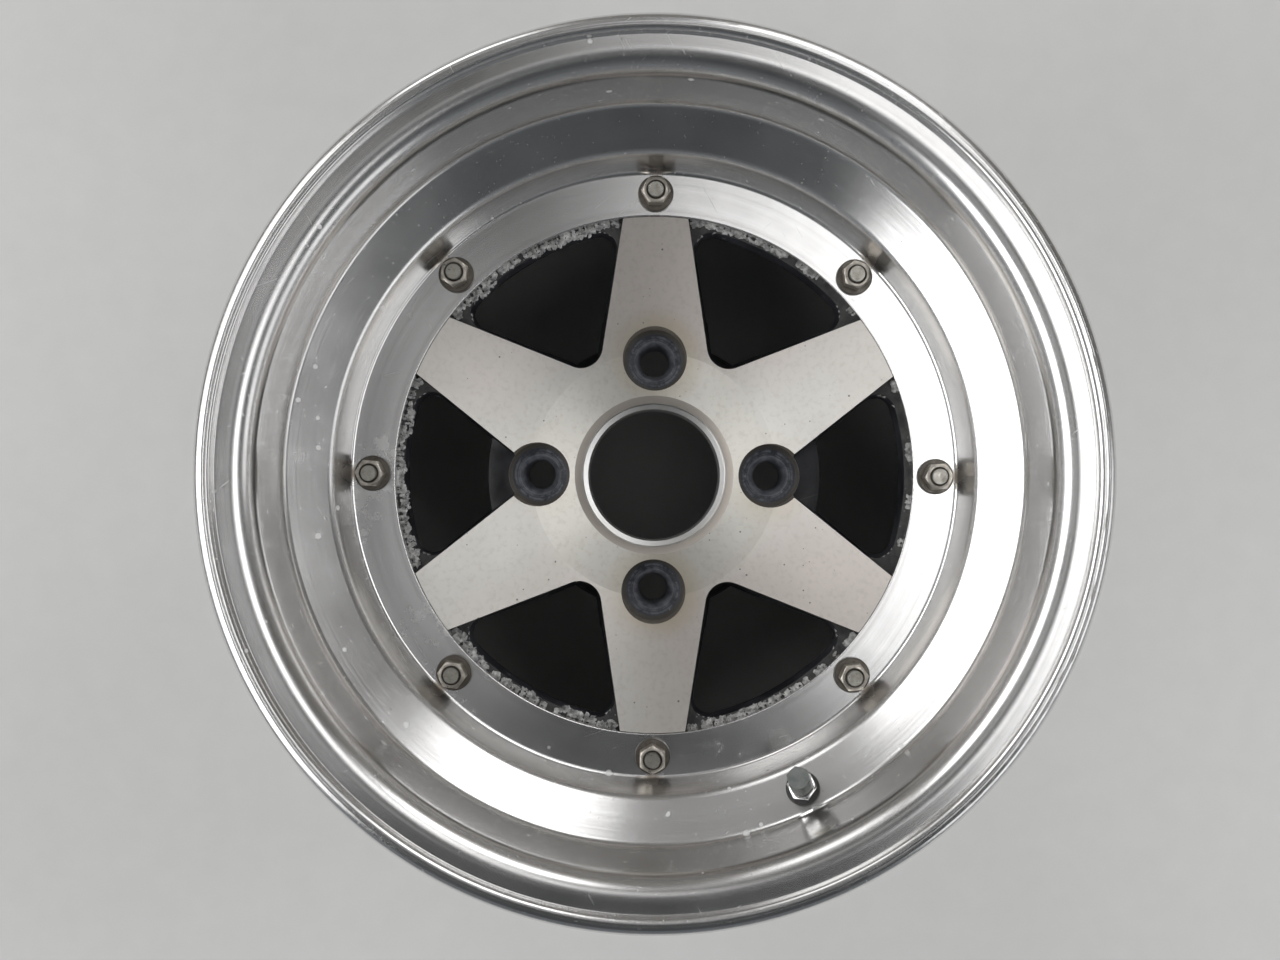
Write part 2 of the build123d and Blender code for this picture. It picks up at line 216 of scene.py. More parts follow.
def turned_section_tree():
    """Turns the section's points about Z; flats cut it to a hexagon and a thread cuts a helix into it."""
    tree, given, result = new_tree(
        "turned section",
        "GeometryNodeTree",
        {
            "Section": "NodeSocketGeometry",
            "Segments": "NodeSocketInt",
            "Closed": "NodeSocketInt",
            "Across Flats": "NodeSocketFloat",
            "Thread Diameter": "NodeSocketFloat",
            "Thread Pitch": "NodeSocketFloat",
            "Thread Depth": "NodeSocketFloat",
            "Thread Start": "NodeSocketFloat",
            "Finish": "NodeSocketMaterial",
        },
        {"Turned": "NodeSocketGeometry"},
    )
    points = add_node(tree, "GeometryNodeAttributeDomainSize", {0: given["Section"]}).outputs["Point Count"]
    columns = calc(tree, "ADD", given["Segments"], 1)
    rows = calc(tree, "ADD", points, given["Closed"])
    grid = add_node(tree, "GeometryNodeMeshGrid", {"Vertices X": rows, "Vertices Y": columns})
    index = add_node(tree, "GeometryNodeInputIndex").outputs[0]
    row = calc(tree, "FLOOR", calc(tree, "DIVIDE", calc(tree, "ADD", index, 0.5), columns))
    column = calc(tree, "SUBTRACT", index, times(tree, row, columns))
    angle = calc(tree, "DIVIDE", times(tree, column, 2 * pi), given["Segments"])
    on_section = add_node(
        tree,
        "GeometryNodeSampleIndex",
        {
            "Geometry": given["Section"],
            "Value": add_node(tree, "GeometryNodeInputPosition").outputs[0],
            "Index": calc(tree, "MODULO", row, points),
        },
        data_type="FLOAT_VECTOR",
    ).outputs[0]
    place = add_node(tree, "ShaderNodeSeparateXYZ", {0: on_section}).outputs
    from_flat = calc(tree, "PINGPONG", calc(tree, "ADD", angle, pi / 6), pi / 6)
    flat_r = calc(tree, "DIVIDE", times(tree, given["Across Flats"], 0.5), calc(tree, "COSINE", from_flat))
    helix = calc(
        tree,
        "SUBTRACT",
        calc(tree, "DIVIDE", place["Z"], given["Thread Pitch"]),
        calc(tree, "DIVIDE", angle, 2 * pi),
    )
    groove = times(tree, calc(tree, "PINGPONG", helix, 0.5), times(tree, given["Thread Depth"], 2))
    thread_r = calc(tree, "SUBTRACT", times(tree, given["Thread Diameter"], 0.5), groove)
    below = calc(tree, "LESS_THAN", place["Z"], given["Thread Start"])
    thread_r = calc(tree, "ADD", thread_r, below)
    radius = calc(tree, "MINIMUM", calc(tree, "MINIMUM", place["X"], flat_r), thread_r)
    flat_place = add_node(tree, "ShaderNodeCombineXYZ", {0: radius, 2: place["Z"]}).outputs[0]
    turned = add_node(
        tree, "ShaderNodeVectorRotate", {"Vector": flat_place, "Angle": angle}, rotation_type="Z_AXIS"
    ).outputs[0]
    body = add_node(tree, "GeometryNodeSetPosition", {0: grid.outputs[0], "Position": turned}).outputs[0]
    body = add_node(tree, "GeometryNodeMergeByDistance", {0: body, "Distance": 1e-6}).outputs[0]
    body = add_node(tree, "GeometryNodeRealizeInstances", {0: body}).outputs[0]
    body = add_node(tree, "GeometryNodeSetMaterial", {0: body, "Material": given["Finish"]}).outputs[0]
    tree.links.new(body, result["Turned"])
    return tree


TURNED_SECTION = turned_section_tree()
NO_LIMIT = 10.0


def settle(piece, mesh, sharp_angle=32.0):
    """Gives a piece its finished mesh: closed, facing outwards, smooth between its sharp edges."""
    shape = bmesh.new()
    shape.from_mesh(mesh)
    bmesh.ops.remove_doubles(shape, verts=shape.verts, dist=1e-7)
    bmesh.ops.recalc_face_normals(shape, faces=shape.faces)
    shape.to_mesh(mesh)
    shape.free()
    mesh.shade_smooth()
    mesh.set_sharp_from_angle(angle=radians(sharp_angle))
    mesh.name = piece.name
    piece.data = mesh


def evaluated_mesh(piece):
    """The piece with its modifiers worked in, as a plain mesh; the modifiers are then removed."""
    depsgraph = bpy.context.evaluated_depsgraph_get()
    mesh = bpy.data.meshes.new_from_object(piece.evaluated_get(depsgraph))
    piece.modifiers.clear()
    return mesh


def new_piece(name, points=()):
    """A new object at the origin that holds loose points."""
    mesh = bpy.data.meshes.new(name)
    mesh.from_pydata(points, [], [])
    piece = bpy.data.objects.new(name, mesh)
    bpy.context.scene.collection.objects.link(piece)
    return piece


def grow(piece, tree, inputs):
    """Runs a geometry tree on a piece and keeps the plain mesh that it makes."""
    modifier = piece.modifiers.new(tree.name, "NODES")
    modifier.node_group = tree
    for title, value in inputs.items():
        modifier[tree.interface.items_tree[title].identifier] = value
    settle(piece, evaluated_mesh(piece))
    return piece


def turned_piece(name, section, finish, segments=RIM_SEGMENTS, closed=1, flats=NO_LIMIT, thread=None):
    """A piece turned from a section; thread is diameter, pitch, depth and start height in metres."""
    diameter, pitch, depth, start = thread or (NO_LIMIT, 1.0, 0.0, NO_LIMIT)
    inputs = {
        "Segments": segments,
        "Closed": closed,
        "Across Flats": flats,
        "Thread Diameter": diameter,
        "Thread Pitch": pitch,
        "Thread Depth": depth,
        "Thread Start": start,
        "Finish": finish,
    }
    return grow(new_piece(name, section), TURNED_SECTION, inputs)


def new_finish(name, **constants):
    """A material with one shader; returns the material, its tree and the shader's inputs."""
    finish = bpy.data.materials.new(name)
    finish.use_nodes = True
    shader = finish.node_tree.nodes["Principled BSDF"]
    for title, value in constants.items():
        shader.inputs[title.replace("_", " ").title().replace("Ior", "IOR")].default_value = value
    return finish, finish.node_tree, shader.inputs


def span(tree, across, aside):
    """The distance that two lengths at right angles cover."""
    squares = [calc(tree, "POWER", side, 2) for side in (across, aside)]
    return calc(tree, "SQRT", calc(tree, "ADD", *squares))


def wheel_place(tree):
    """Object coordinates, and from them the radius from the wheel's axis, the angle and the height."""
    there = add_node(tree, "ShaderNodeTexCoord").outputs["Object"]
    axes = add_node(tree, "ShaderNodeSeparateXYZ", {0: there}).outputs
    angle = calc(tree, "ARCTAN2", axes["Y"], axes["X"])
    return there, span(tree, axes["X"], axes["Y"]), angle, axes["Z"]


def grade(tree, value, low, high, bottom=0.0, top=1.0):
    """Maps a value between two limits to another range, without going past it."""
    return add_node(tree, "ShaderNodeMapRange", {0: value, 1: low, 2: high, 3: bottom, 4: top}).outputs[0]


def blend(tree, share, first, second):
    """Mixes two colours, each a colour or a link."""
    inputs = {"Factor": share, "A": first, "B": second}
    mixer = add_node(tree, "ShaderNodeMix", data_type="RGBA")
    for title, value in inputs.items():
        sockets = [s for s in mixer.inputs if s.name == title and s.type in ("RGBA", "VALUE") and s.enabled]
        if isinstance(value, bpy.types.NodeSocket):
            tree.links.new(value, sockets[0])
        else:
            sockets[0].default_value = (*value, 1) if isinstance(value, tuple) else value
    return next(s for s in mixer.outputs if s.enabled)


def noise(tree, where, scale, detail, roughness=0.5):
    """A cloudy random pattern."""
    inputs = {"Vector": where, "Scale": scale, "Detail": detail, "Roughness": roughness}
    return add_node(tree, "ShaderNodeTexNoise", inputs).outputs[0]


def circular_lines_tree():
    """Fine rings left by turning and polishing, stronger in some stretches than in others."""
    tree, given, result = new_tree(
        "circular lines",
        "ShaderNodeTree",
        {"Fineness": "NodeSocketFloat"},
        {"Lines": "NodeSocketFloat"},
    )
    there, radius, _, height = wheel_place(tree)
    across = add_node(tree, "ShaderNodeCombineXYZ", {0: radius, 1: height}).outputs[0]
    rings = noise(tree, across, given["Fineness"], 4.0, 0.7)
    strength = grade(tree, noise(tree, there, 22.0, 2.0), 0.3, 0.7, 0.35, 1.0)
    swing = times(tree, calc(tree, "SUBTRACT", rings, 0.5), strength)
    tree.links.new(calc(tree, "ADD", swing, 0.5), result["Lines"])
    return tree


def spots(tree, there, scale, share, smallest, spread, edge):
    """Round spots of random size, in a share of the cells of a pattern."""
    cells = add_node(tree, "ShaderNodeTexVoronoi", {"Vector": there, "Scale": scale}).outputs
    draws = add_node(tree, "ShaderNodeSeparateColor", {0: cells["Color"]}).outputs
    size = calc(tree, "ADD", times(tree, draws["Green"], spread), smallest)
    spot = grade(tree, calc(tree, "DIVIDE", cells["Distance"], size), *edge, 1.0, 0.0)
    return times(tree, spot, calc(tree, "LESS_THAN", draws["Red"], share))


def ageing_tree():
    """Cloudy tarnish, round pits and thin straight scratches."""
    tree, given, result = new_tree(
        "ageing",
        "ShaderNodeTree",
        {
            "Cloud Scale": "NodeSocketFloat",
            "Pit Scale": "NodeSocketFloat",
            "Pit Share": "NodeSocketFloat",
            "Scratch Scale": "NodeSocketFloat",
        },
        {"Clouds": "NodeSocketFloat", "Pits": "NodeSocketFloat", "Scratches": "NodeSocketFloat"},
    )
    there = add_node(tree, "ShaderNodeTexCoord").outputs["Object"]
    clouds = noise(tree, there, given["Cloud Scale"], 6.0, 0.62)
    tree.links.new(grade(tree, clouds, 0.36, 0.68), result["Clouds"])
    pits = spots(tree, there, given["Pit Scale"], given["Pit Share"], 0.06, 0.14, (0.7, 1.1))
    tree.links.new(pits, result["Pits"])
    scratches = None
    for turn, thin in ((0.5, 0.76), (-0.9, 0.77), (1.9, 0.78)):
        along = add_node(
            tree,
            "ShaderNodeMapping",
            {"Vector": there, "Rotation": (0, 0, turn), "Scale": (1.0, 45.0, 1.0)},
            vector_type="TEXTURE",
        ).outputs[0]
        line = grade(tree, noise(tree, along, given["Scratch Scale"], 1.0), thin, thin + 0.03)
        scratches = line if scratches is None else calc(tree, "MAXIMUM", scratches, line)
    tree.links.new(scratches, result["Scratches"])
    return tree


CIRCULAR_LINES = circular_lines_tree()
AGEING = ageing_tree()


def lines_on(tree, fineness):
    """The circular lines of a finish."""
    return add_node(tree, "ShaderNodeGroup", {"Fineness": fineness}, node_tree=CIRCULAR_LINES).outputs[0]


def ageing_on(tree, clouds, pits, pit_share, scratches):
    """The tarnish, pits and scratches of a finish, from their scales and the share of the pits."""
    inputs = {"Cloud Scale": clouds, "Pit Scale": pits, "Pit Share": pit_share, "Scratch Scale": scratches}
    return add_node(tree, "ShaderNodeGroup", inputs, node_tree=AGEING).outputs


def total(tree, start, *terms):
    """A start value plus terms, each a weight and a link."""
    value = start
    for weight, term in terms:
        value = calc(tree, "MULTIPLY_ADD", term, weight, value)
    return value


def link_finish(tree, inputs, colour, roughness=None, metal=None):
    """Links what varies over a finish to its shader."""
    for title, value in (("Base Color", colour), ("Roughness", roughness), ("Metallic", metal)):
        if value is not None:
            tree.links.new(value, inputs[title])


def relief(tree, inputs, height, strength, depth):
    """Bump from a height."""
    bump = add_node(tree, "ShaderNodeBump", {"Height": height, "Strength": strength, "Distance": depth})
    tree.links.new(bump.outputs[0], inputs["Normal"])


def round_grain(tree, inputs):
    """Brushing that runs around the wheel's axis, so that highlights spread along the radius."""
    tree.links.new(add_node(tree, "ShaderNodeTangent", axis="Z").outputs[0], inputs["Tangent"])
    inputs["Anisotropic Rotation"].default_value = 0.25


def barrel_finish():
    """Dull spun metal outside; on the side that faces the wheel's axis, brake dust made near black as
    painted shade inside the wheel.
    """
    finish, tree, inputs = new_finish("stained barrel aluminium", anisotropic=0.5)
    there, radius, _, height = wheel_place(tree)
    worn = ageing_on(tree, clouds=14.0, pits=300.0, pit_share=0.25, scratches=900.0)
    lines = lines_on(tree, 900.0)
    outward = add_node(tree, "ShaderNodeTexCoord").outputs["Normal"]
    away = add_node(tree, "ShaderNodeVectorMath", {0: there, 1: outward}, operation="DOT_PRODUCT")
    upright = add_node(tree, "ShaderNodeSeparateXYZ", {0: outward}).outputs["Z"]
    away = calc(tree, "SUBTRACT", away.outputs["Value"], times(tree, upright, height))
    # Painted shade: the side that faces the axis goes near black, partly brake dust and partly shade inside
    # the wheel.
    dust_and_shade = grade(tree, calc(tree, "DIVIDE", away, radius), 0.05, -0.05)
    dust_and_shade = times(tree, dust_and_shade, grade(tree, worn["Clouds"], 0.0, 1.0, 0.85, 1.0))
    colour = blend(tree, worn["Clouds"], (0.26, 0.26, 0.255), (0.13, 0.125, 0.115))
    colour = blend(tree, times(tree, worn["Pits"], 0.7), colour, (0.10, 0.08, 0.065))
    colour = blend(tree, dust_and_shade, colour, (0.022, 0.019, 0.017))
    rough = total(tree, 0.36, (0.2, worn["Clouds"]), (0.12, lines), (0.3, dust_and_shade))
    link_finish(tree, inputs, colour, rough, total(tree, 0.9, (-0.4, worn["Clouds"]), (-0.5, dust_and_shade)))
    relief(tree, inputs, total(tree, 0.0, (0.6, lines), (-0.5, worn["Pits"])), 0.25, 0.0002)
    round_grain(tree, inputs)
    return finish


def placed(section, height, upside_down=False):
    """A section moved to its height along the axis."""
    return [(x, y, (height * MM - z) if upside_down else (height * MM + z)) for x, y, z in section]


BOLT_HOLE_D = 8.4
BOLT_R = 135.0
BOLTS = 8
DRILL_RUN = (-20.0, 80.0)


def bolt_circle_tree():
    """Sets one fastener on each place, turned by the place's own angle."""
    tree, given, result = new_tree(
        "bolt circle",
        "GeometryNodeTree",
        {"Places": "NodeSocketGeometry", "Fastener": "NodeSocketObject", "Finish": "NodeSocketMaterial"},
        {"Fasteners": "NodeSocketGeometry"},
    )
    fastener = add_node(tree, "GeometryNodeObjectInfo", {"Object": given["Fastener"]}).outputs["Geometry"]
    angle = add_node(tree, "GeometryNodeInputNamedAttribute", {"Name": "turn"}, data_type="FLOAT")
    spin = add_node(tree, "ShaderNodeCombineXYZ", {2: angle.outputs[0]}).outputs[0]
    setting = {"Points": given["Places"], "Instance": fastener, "Rotation": spin}
    all_set = add_node(tree, "GeometryNodeInstanceOnPoints", setting).outputs[0]
    all_set = add_node(tree, "GeometryNodeRealizeInstances", {0: all_set}).outputs[0]
    all_set = add_node(tree, "GeometryNodeSetMaterial", {0: all_set, "Material": given["Finish"]})
    tree.links.new(all_set.outputs[0], result["Fasteners"])
    return tree


BOLT_CIRCLE = bolt_circle_tree()


def around_bolt_circle(name, fastener, finish, turns=(0.0,) * BOLTS):
    """One piece that holds a fastener on every bolt place; turns are in degrees."""
    angles = [2 * pi * i / BOLTS for i in range(BOLTS)]
    group = new_piece(name, [(BOLT_R * MM * cos(a), BOLT_R * MM * sin(a), 0) for a in angles])
    turn = group.data.attributes.new("turn", "FLOAT", "POINT")
    turn.data.foreach_set("value", [a + radians(t) for a, t in zip(angles, turns)])
    grow(group, BOLT_CIRCLE, {"Fastener": fastener, "Finish": finish})
    bpy.data.objects.remove(fastener)
    return group


def drill(piece, cutter):
    """Cuts the cutter out of a piece, and removes the cutter."""
    cut = piece.modifiers.new("holes", "BOOLEAN")
    cut.object = cutter
    cut.solver = "EXACT"
    settle(piece, evaluated_mesh(piece))
    bpy.data.objects.remove(cutter)


def bolt_hole_cutter(finish):
    """Eight plain rods that cut the bolt holes."""
    hole_r = BOLT_HOLE_D / 2 * MM
    low, high = (end * MM for end in DRILL_RUN)
    rod = [(0, 0, low), (hole_r, 0, low), (hole_r, 0, high), (0, 0, high)]
    return around_bolt_circle("bolt_hole_cutter", turned_piece("bolt_hole", rod, finish, 32, 0), finish)


barrel_metal = barrel_finish()
inner_depth = INNER_TOP_Z - INNER_BOTTOM_Z
inner_rows = rim_section(inner_depth, INNER_WELL_R, INNER_WELL_END, INNER_STEP_ANGLE)
inner_section = placed(rounded_section(inner_rows), INNER_TOP_Z, upside_down=True)
inner_rim = turned_piece("inner_barrel", inner_section, barrel_metal)
drill(inner_rim, bolt_hole_cutter(barrel_metal))
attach(inner_rim, "root")
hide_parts("inner_rim_half")


# Sealant: the dark bead run round the seam between the two halves before the tyre is fitted.
# It is a cured rubber compound, smoothed by a finger, so its surface waves a little.

RING_REAR_Z = INNER_TOP_Z
RING_FRONT_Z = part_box("outer_rim_half")[0].z / MM
SEALANT_INNER_R = 147.1
SEALANT_OUTER_R = 154.1
SEALANT_GAP = 0.1


def sealant_finish():
    finish, tree, inputs = new_finish("cured sealant", roughness=0.6)
    worn = ageing_on(tree, clouds=60.0, pits=300.0, pit_share=0.2, scratches=200.0)
    link_finish(tree, inputs, blend(tree, worn["Clouds"], (0.16, 0.16, 0.17), (0.30, 0.29, 0.28)))
    relief(tree, inputs, worn["Clouds"], 0.4, 0.0006)
    return finish


def sealant_section():
    """The bead's section: a flat outer face and two hollow sides that follow the rounded seam edges."""
    seam_r = WELL_OUTER_R - SEAM_ROUND
    side_round = SEAM_ROUND + SEALANT_GAP
    steps = [SEALANT_INNER_R + (SEALANT_OUTER_R - SEALANT_INNER_R) * i / 8 for i in range(9)]
    rises = [SEAM_ROUND - (side_round**2 - (r - seam_r) ** 2) ** 0.5 for r in steps]
    front = [(r * MM, 0, (RING_FRONT_Z + rise) * MM) for r, rise in zip(steps, rises)]
    rear = [(r * MM, 0, (RING_REAR_Z - rise) * MM) for r, rise in zip(steps, rises)]
    return front + rear[::-1]


sealant = turned_piece("seam_sealant", sealant_section(), sealant_finish(), 256)
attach(sealant, "root")
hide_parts("rim_sealant")


# Centre disc: one aluminium casting with six spokes. Its face is turned bright after black paint
# has gone into the windows and lug pockets, so paint and bare metal meet on the spoke edges.

HUB_FACE_Z = 30.0
BORE_CHAMFER_R = 39.0
SPOKE_SLOPE = radians(9.35)
LEDGE_R = 113.0
LUG_R = 57.15
LUGS = 4
LUG_POCKET_R = 15.75
LUG_SEAT = (9.9, 10.4)
LUG_WALL = (13.3, 13.8)
LUG_LIP = (15.5, 15.7)
LUG_GRIME = (15.8, 26.0)
HUB_TONE = (54.0, 66.0)
BORE_SHOULDER = (35.4, 35.7)
EDGE_BREAK = 0.28
CHIPS = 3600
CHIP_SIZE = 1.25
CHIP_THICKNESS = 0.25
CHIP_SEED = 7
CHIP_STACK = 0.7
CHIP_UNEVENNESS = Vector((2.0, 2.0, 0.3)) * MM
DEEPEST_RUN = 4.7
SHALLOWEST_RUN = 0.9
WINDOW_HALF_ARC = 22.0
FACE, BORE, PAINT, POCKET, LEDGE, CHIPPED_AND_LIT_EDGE = range(6)


def cad_copy(name, node, edge_break):
    """A copy of a CAD node's mesh with its corners merged, its flats joined and its edges broken."""
    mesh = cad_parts[node].data.copy()
    if "custom_normal" in mesh.attributes:
        mesh.attributes.remove(mesh.attributes["custom_normal"])
    mesh.materials.clear()
    shape = bmesh.new()
    shape.from_mesh(mesh)
    bmesh.ops.remove_doubles(shape, verts=shape.verts, dist=1e-6)
    bmesh.ops.dissolve_limit(shape, angle_limit=radians(0.3), verts=shape.verts, edges=shape.edges)
    shape.to_mesh(mesh)
    shape.free()
    piece = new_piece(name)
    piece.data = mesh
    bevel = piece.modifiers.new("broken edges", "BEVEL")
    bevel.width = edge_break * MM
    bevel.segments = 2
    bevel.limit_method = "ANGLE"
    bevel.angle_limit = radians(32)
    settle(piece, evaluated_mesh(piece), 40.0)
    return piece


def circle_distance(tree, circle_r, count):
    """Distance from the nearest of some equal places on a circle about the wheel's axis."""
    _, radius, angle, _ = wheel_place(tree)
    folded = calc(tree, "PINGPONG", calc(tree, "ADD", angle, 4 * pi), pi / count)
    across = calc(tree, "SUBTRACT", times(tree, radius, calc(tree, "COSINE", folded)), circle_r * MM)
    return span(tree, across, times(tree, radius, calc(tree, "SINE", folded)))


def fade(tree, length, limits, bottom=0.0, top=1.0):
    """Maps a length between two limits in mm to another range."""
    low, high = limits
    return grade(tree, length, low * MM, high * MM, bottom, top)


def rings_about(tree, distance, scale):
    """Fine rings about a place, from the distance to it."""
    inputs = {"W": distance, "Scale": scale, "Detail": 3.0}
    return add_node(tree, "ShaderNodeTexNoise", inputs, noise_dimensions="1D").outputs[0]


def turned_face_finish():
    finish, tree, inputs = new_finish("turned disc face", anisotropic=0.8, metallic=1.0)
    there, radius, _, _ = wheel_place(tree)
    worn = ageing_on(tree, clouds=26.0, pits=330.0, pit_share=0.12, scratches=1100.0)
    lines = lines_on(tree, 1800.0)
    tint = noise(tree, there, 9.0, 2.0)
    grain = noise(tree, there, 420.0, 3.0)
    hub = fade(tree, radius, HUB_TONE, 1.0, 0.0)
    colour = blend(tree, grade(tree, tint, 0.40, 0.62), (0.75, 0.735, 0.70), (0.78, 0.72, 0.68))
    colour = blend(tree, hub, colour, (0.785, 0.765, 0.715))
    colour = blend(tree, times(tree, worn["Clouds"], 0.28), colour, (0.58, 0.56, 0.52))
    colour = blend(tree, grade(tree, grain, 0.5, 0.75, 0.0, 0.35), colour, (0.55, 0.51, 0.46))
    dirty = fade(tree, circle_distance(tree, LUG_R, LUGS), LUG_GRIME, 0.75, 0.0)
    dirty = times(tree, dirty, grade(tree, tint, 0.35, 0.65))
    colour = blend(tree, dirty, colour, (0.62, 0.55, 0.42))
    colour = blend(tree, times(tree, worn["Pits"], 0.85), colour, (0.20, 0.17, 0.15))
    rough = total(tree, 0.39, (0.06, worn["Clouds"]), (0.12, lines), (0.2, worn["Pits"]))
    link_finish(tree, inputs, colour, rough)
    height = total(tree, 0.0, (0.5, lines), (-0.8, worn["Pits"]), (-0.3, worn["Scratches"]))
    relief(tree, inputs, height, 0.2, 0.00012)
    round_grain(tree, inputs)
    return finish


def bore_finish():
    finish, tree, inputs = new_finish("turned bore", metallic=1.0, anisotropic=0.4)
    _, radius, _, _ = wheel_place(tree)
    worn = ageing_on(tree, clouds=40.0, pits=300.0, pit_share=0.2, scratches=200.0)
    lines = lines_on(tree, 1200.0)
    dull = fade(tree, radius, BORE_SHOULDER)
    colour = blend(tree, dull, (0.82, 0.82, 0.81), (0.54, 0.50, 0.46))
    colour = blend(tree, times(tree, worn["Clouds"], 0.3), colour, (0.42, 0.39, 0.35))
    link_finish(tree, inputs, colour, total(tree, 0.28, (0.22, dull), (0.12, lines)))
    relief(tree, inputs, lines, 0.2, 0.00015)
    round_grain(tree, inputs)
    return finish


def black_paint_finish():
    finish, tree, inputs = new_finish("black window paint", specular_ior_level=0.3)
    worn = ageing_on(tree, clouds=55.0, pits=420.0, pit_share=0.3, scratches=220.0)
    colour = blend(tree, worn["Clouds"], (0.010, 0.010, 0.012), (0.035, 0.036, 0.042))
    colour = blend(tree, worn["Scratches"], colour, (0.12, 0.12, 0.12))
    link_finish(tree, inputs, colour, total(tree, 0.34, (0.2, worn["Clouds"])))
    relief(tree, inputs, total(tree, 0.0, (0.7, worn["Clouds"]), (0.3, worn["Pits"])), 0.25, 0.0003)
    return finish


def lug_pocket_finish():
    finish, tree, inputs = new_finish("worn lug pocket paint")
    worn = ageing_on(tree, clouds=260.0, pits=270.0, pit_share=0.45, scratches=1500.0)
    distance = circle_distance(tree, LUG_R, LUGS)
    rings = rings_about(tree, distance, 620.0)
    rubbed = times(tree, grade(tree, rings, 0.46, 0.60), grade(tree, worn["Clouds"], 0.25, 0.75))
    seat = fade(tree, distance, LUG_SEAT, 1.0, 0.0)
    wall = fade(tree, distance, LUG_WALL)
    lip = fade(tree, distance, LUG_LIP)
    colour = blend(tree, worn["Clouds"], (0.026, 0.030, 0.043), (0.080, 0.088, 0.110))
    # Painted light: the cone seat is made lighter, partly as worn bare metal and partly to make up for the
    # shade that the steep cone lies in.
    seat_colour_and_painted_light = blend(tree, worn["Clouds"], (0.17, 0.185, 0.225), (0.40, 0.42, 0.47))
    colour = blend(tree, seat, colour, seat_colour_and_painted_light)
    colour = blend(tree, times(tree, rubbed, 0.5), colour, (0.25, 0.27, 0.31))
    colour = blend(tree, times(tree, worn["Pits"], 0.6), colour, (0.28, 0.30, 0.34))
    colour = blend(tree, wall, colour, (0.062, 0.054, 0.046))
    colour = blend(tree, lip, colour, (0.17, 0.15, 0.125))
    rough = total(tree, 0.36, (0.2, worn["Clouds"]))
    link_finish(tree, inputs, colour, rough, times(tree, rubbed, 0.3))
    relief(tree, inputs, total(tree, 0.0, (1.0, rings), (0.8, worn["Clouds"])), 0.35, 0.0003)
    return finish


def ledge_finish():
    finish, tree, inputs = new_finish("dull ledge paint")
    worn = ageing_on(tree, clouds=170.0, pits=420.0, pit_share=0.4, scratches=900.0)
    colour = blend(tree, worn["Clouds"], (0.010, 0.010, 0.011), (0.062, 0.061, 0.058))
    colour = blend(tree, times(tree, worn["Pits"], 0.7), colour, (0.22, 0.22, 0.21))
    link_finish(tree, inputs, colour, total(tree, 0.5, (0.2, worn["Clouds"])))
    relief(tree, inputs, worn["Clouds"], 0.5, 0.0004)
    return finish


# Pale paint chips; the same colour goes on the ledge's broken edges as a painted highlight.
def chip_and_lit_edge_finish():
    finish, tree, inputs = new_finish("lifted paint chips")
    worn = ageing_on(tree, clouds=420.0, pits=900.0, pit_share=0.3, scratches=900.0)
    colour = blend(tree, worn["Clouds"], (0.17, 0.17, 0.166), (0.80, 0.80, 0.785))
    link_finish(tree, inputs, colour, total(tree, 0.45, (0.2, worn["Clouds"])))
    relief(tree, inputs, worn["Clouds"], 0.5, 0.0003)
    return finish


def chance(tree, low, high, seed):
    """A random number for each point."""
    limits = {2: low, 3: high, 8: seed}
    return add_node(tree, "FunctionNodeRandomValue", limits, data_type="FLOAT").outputs[1]


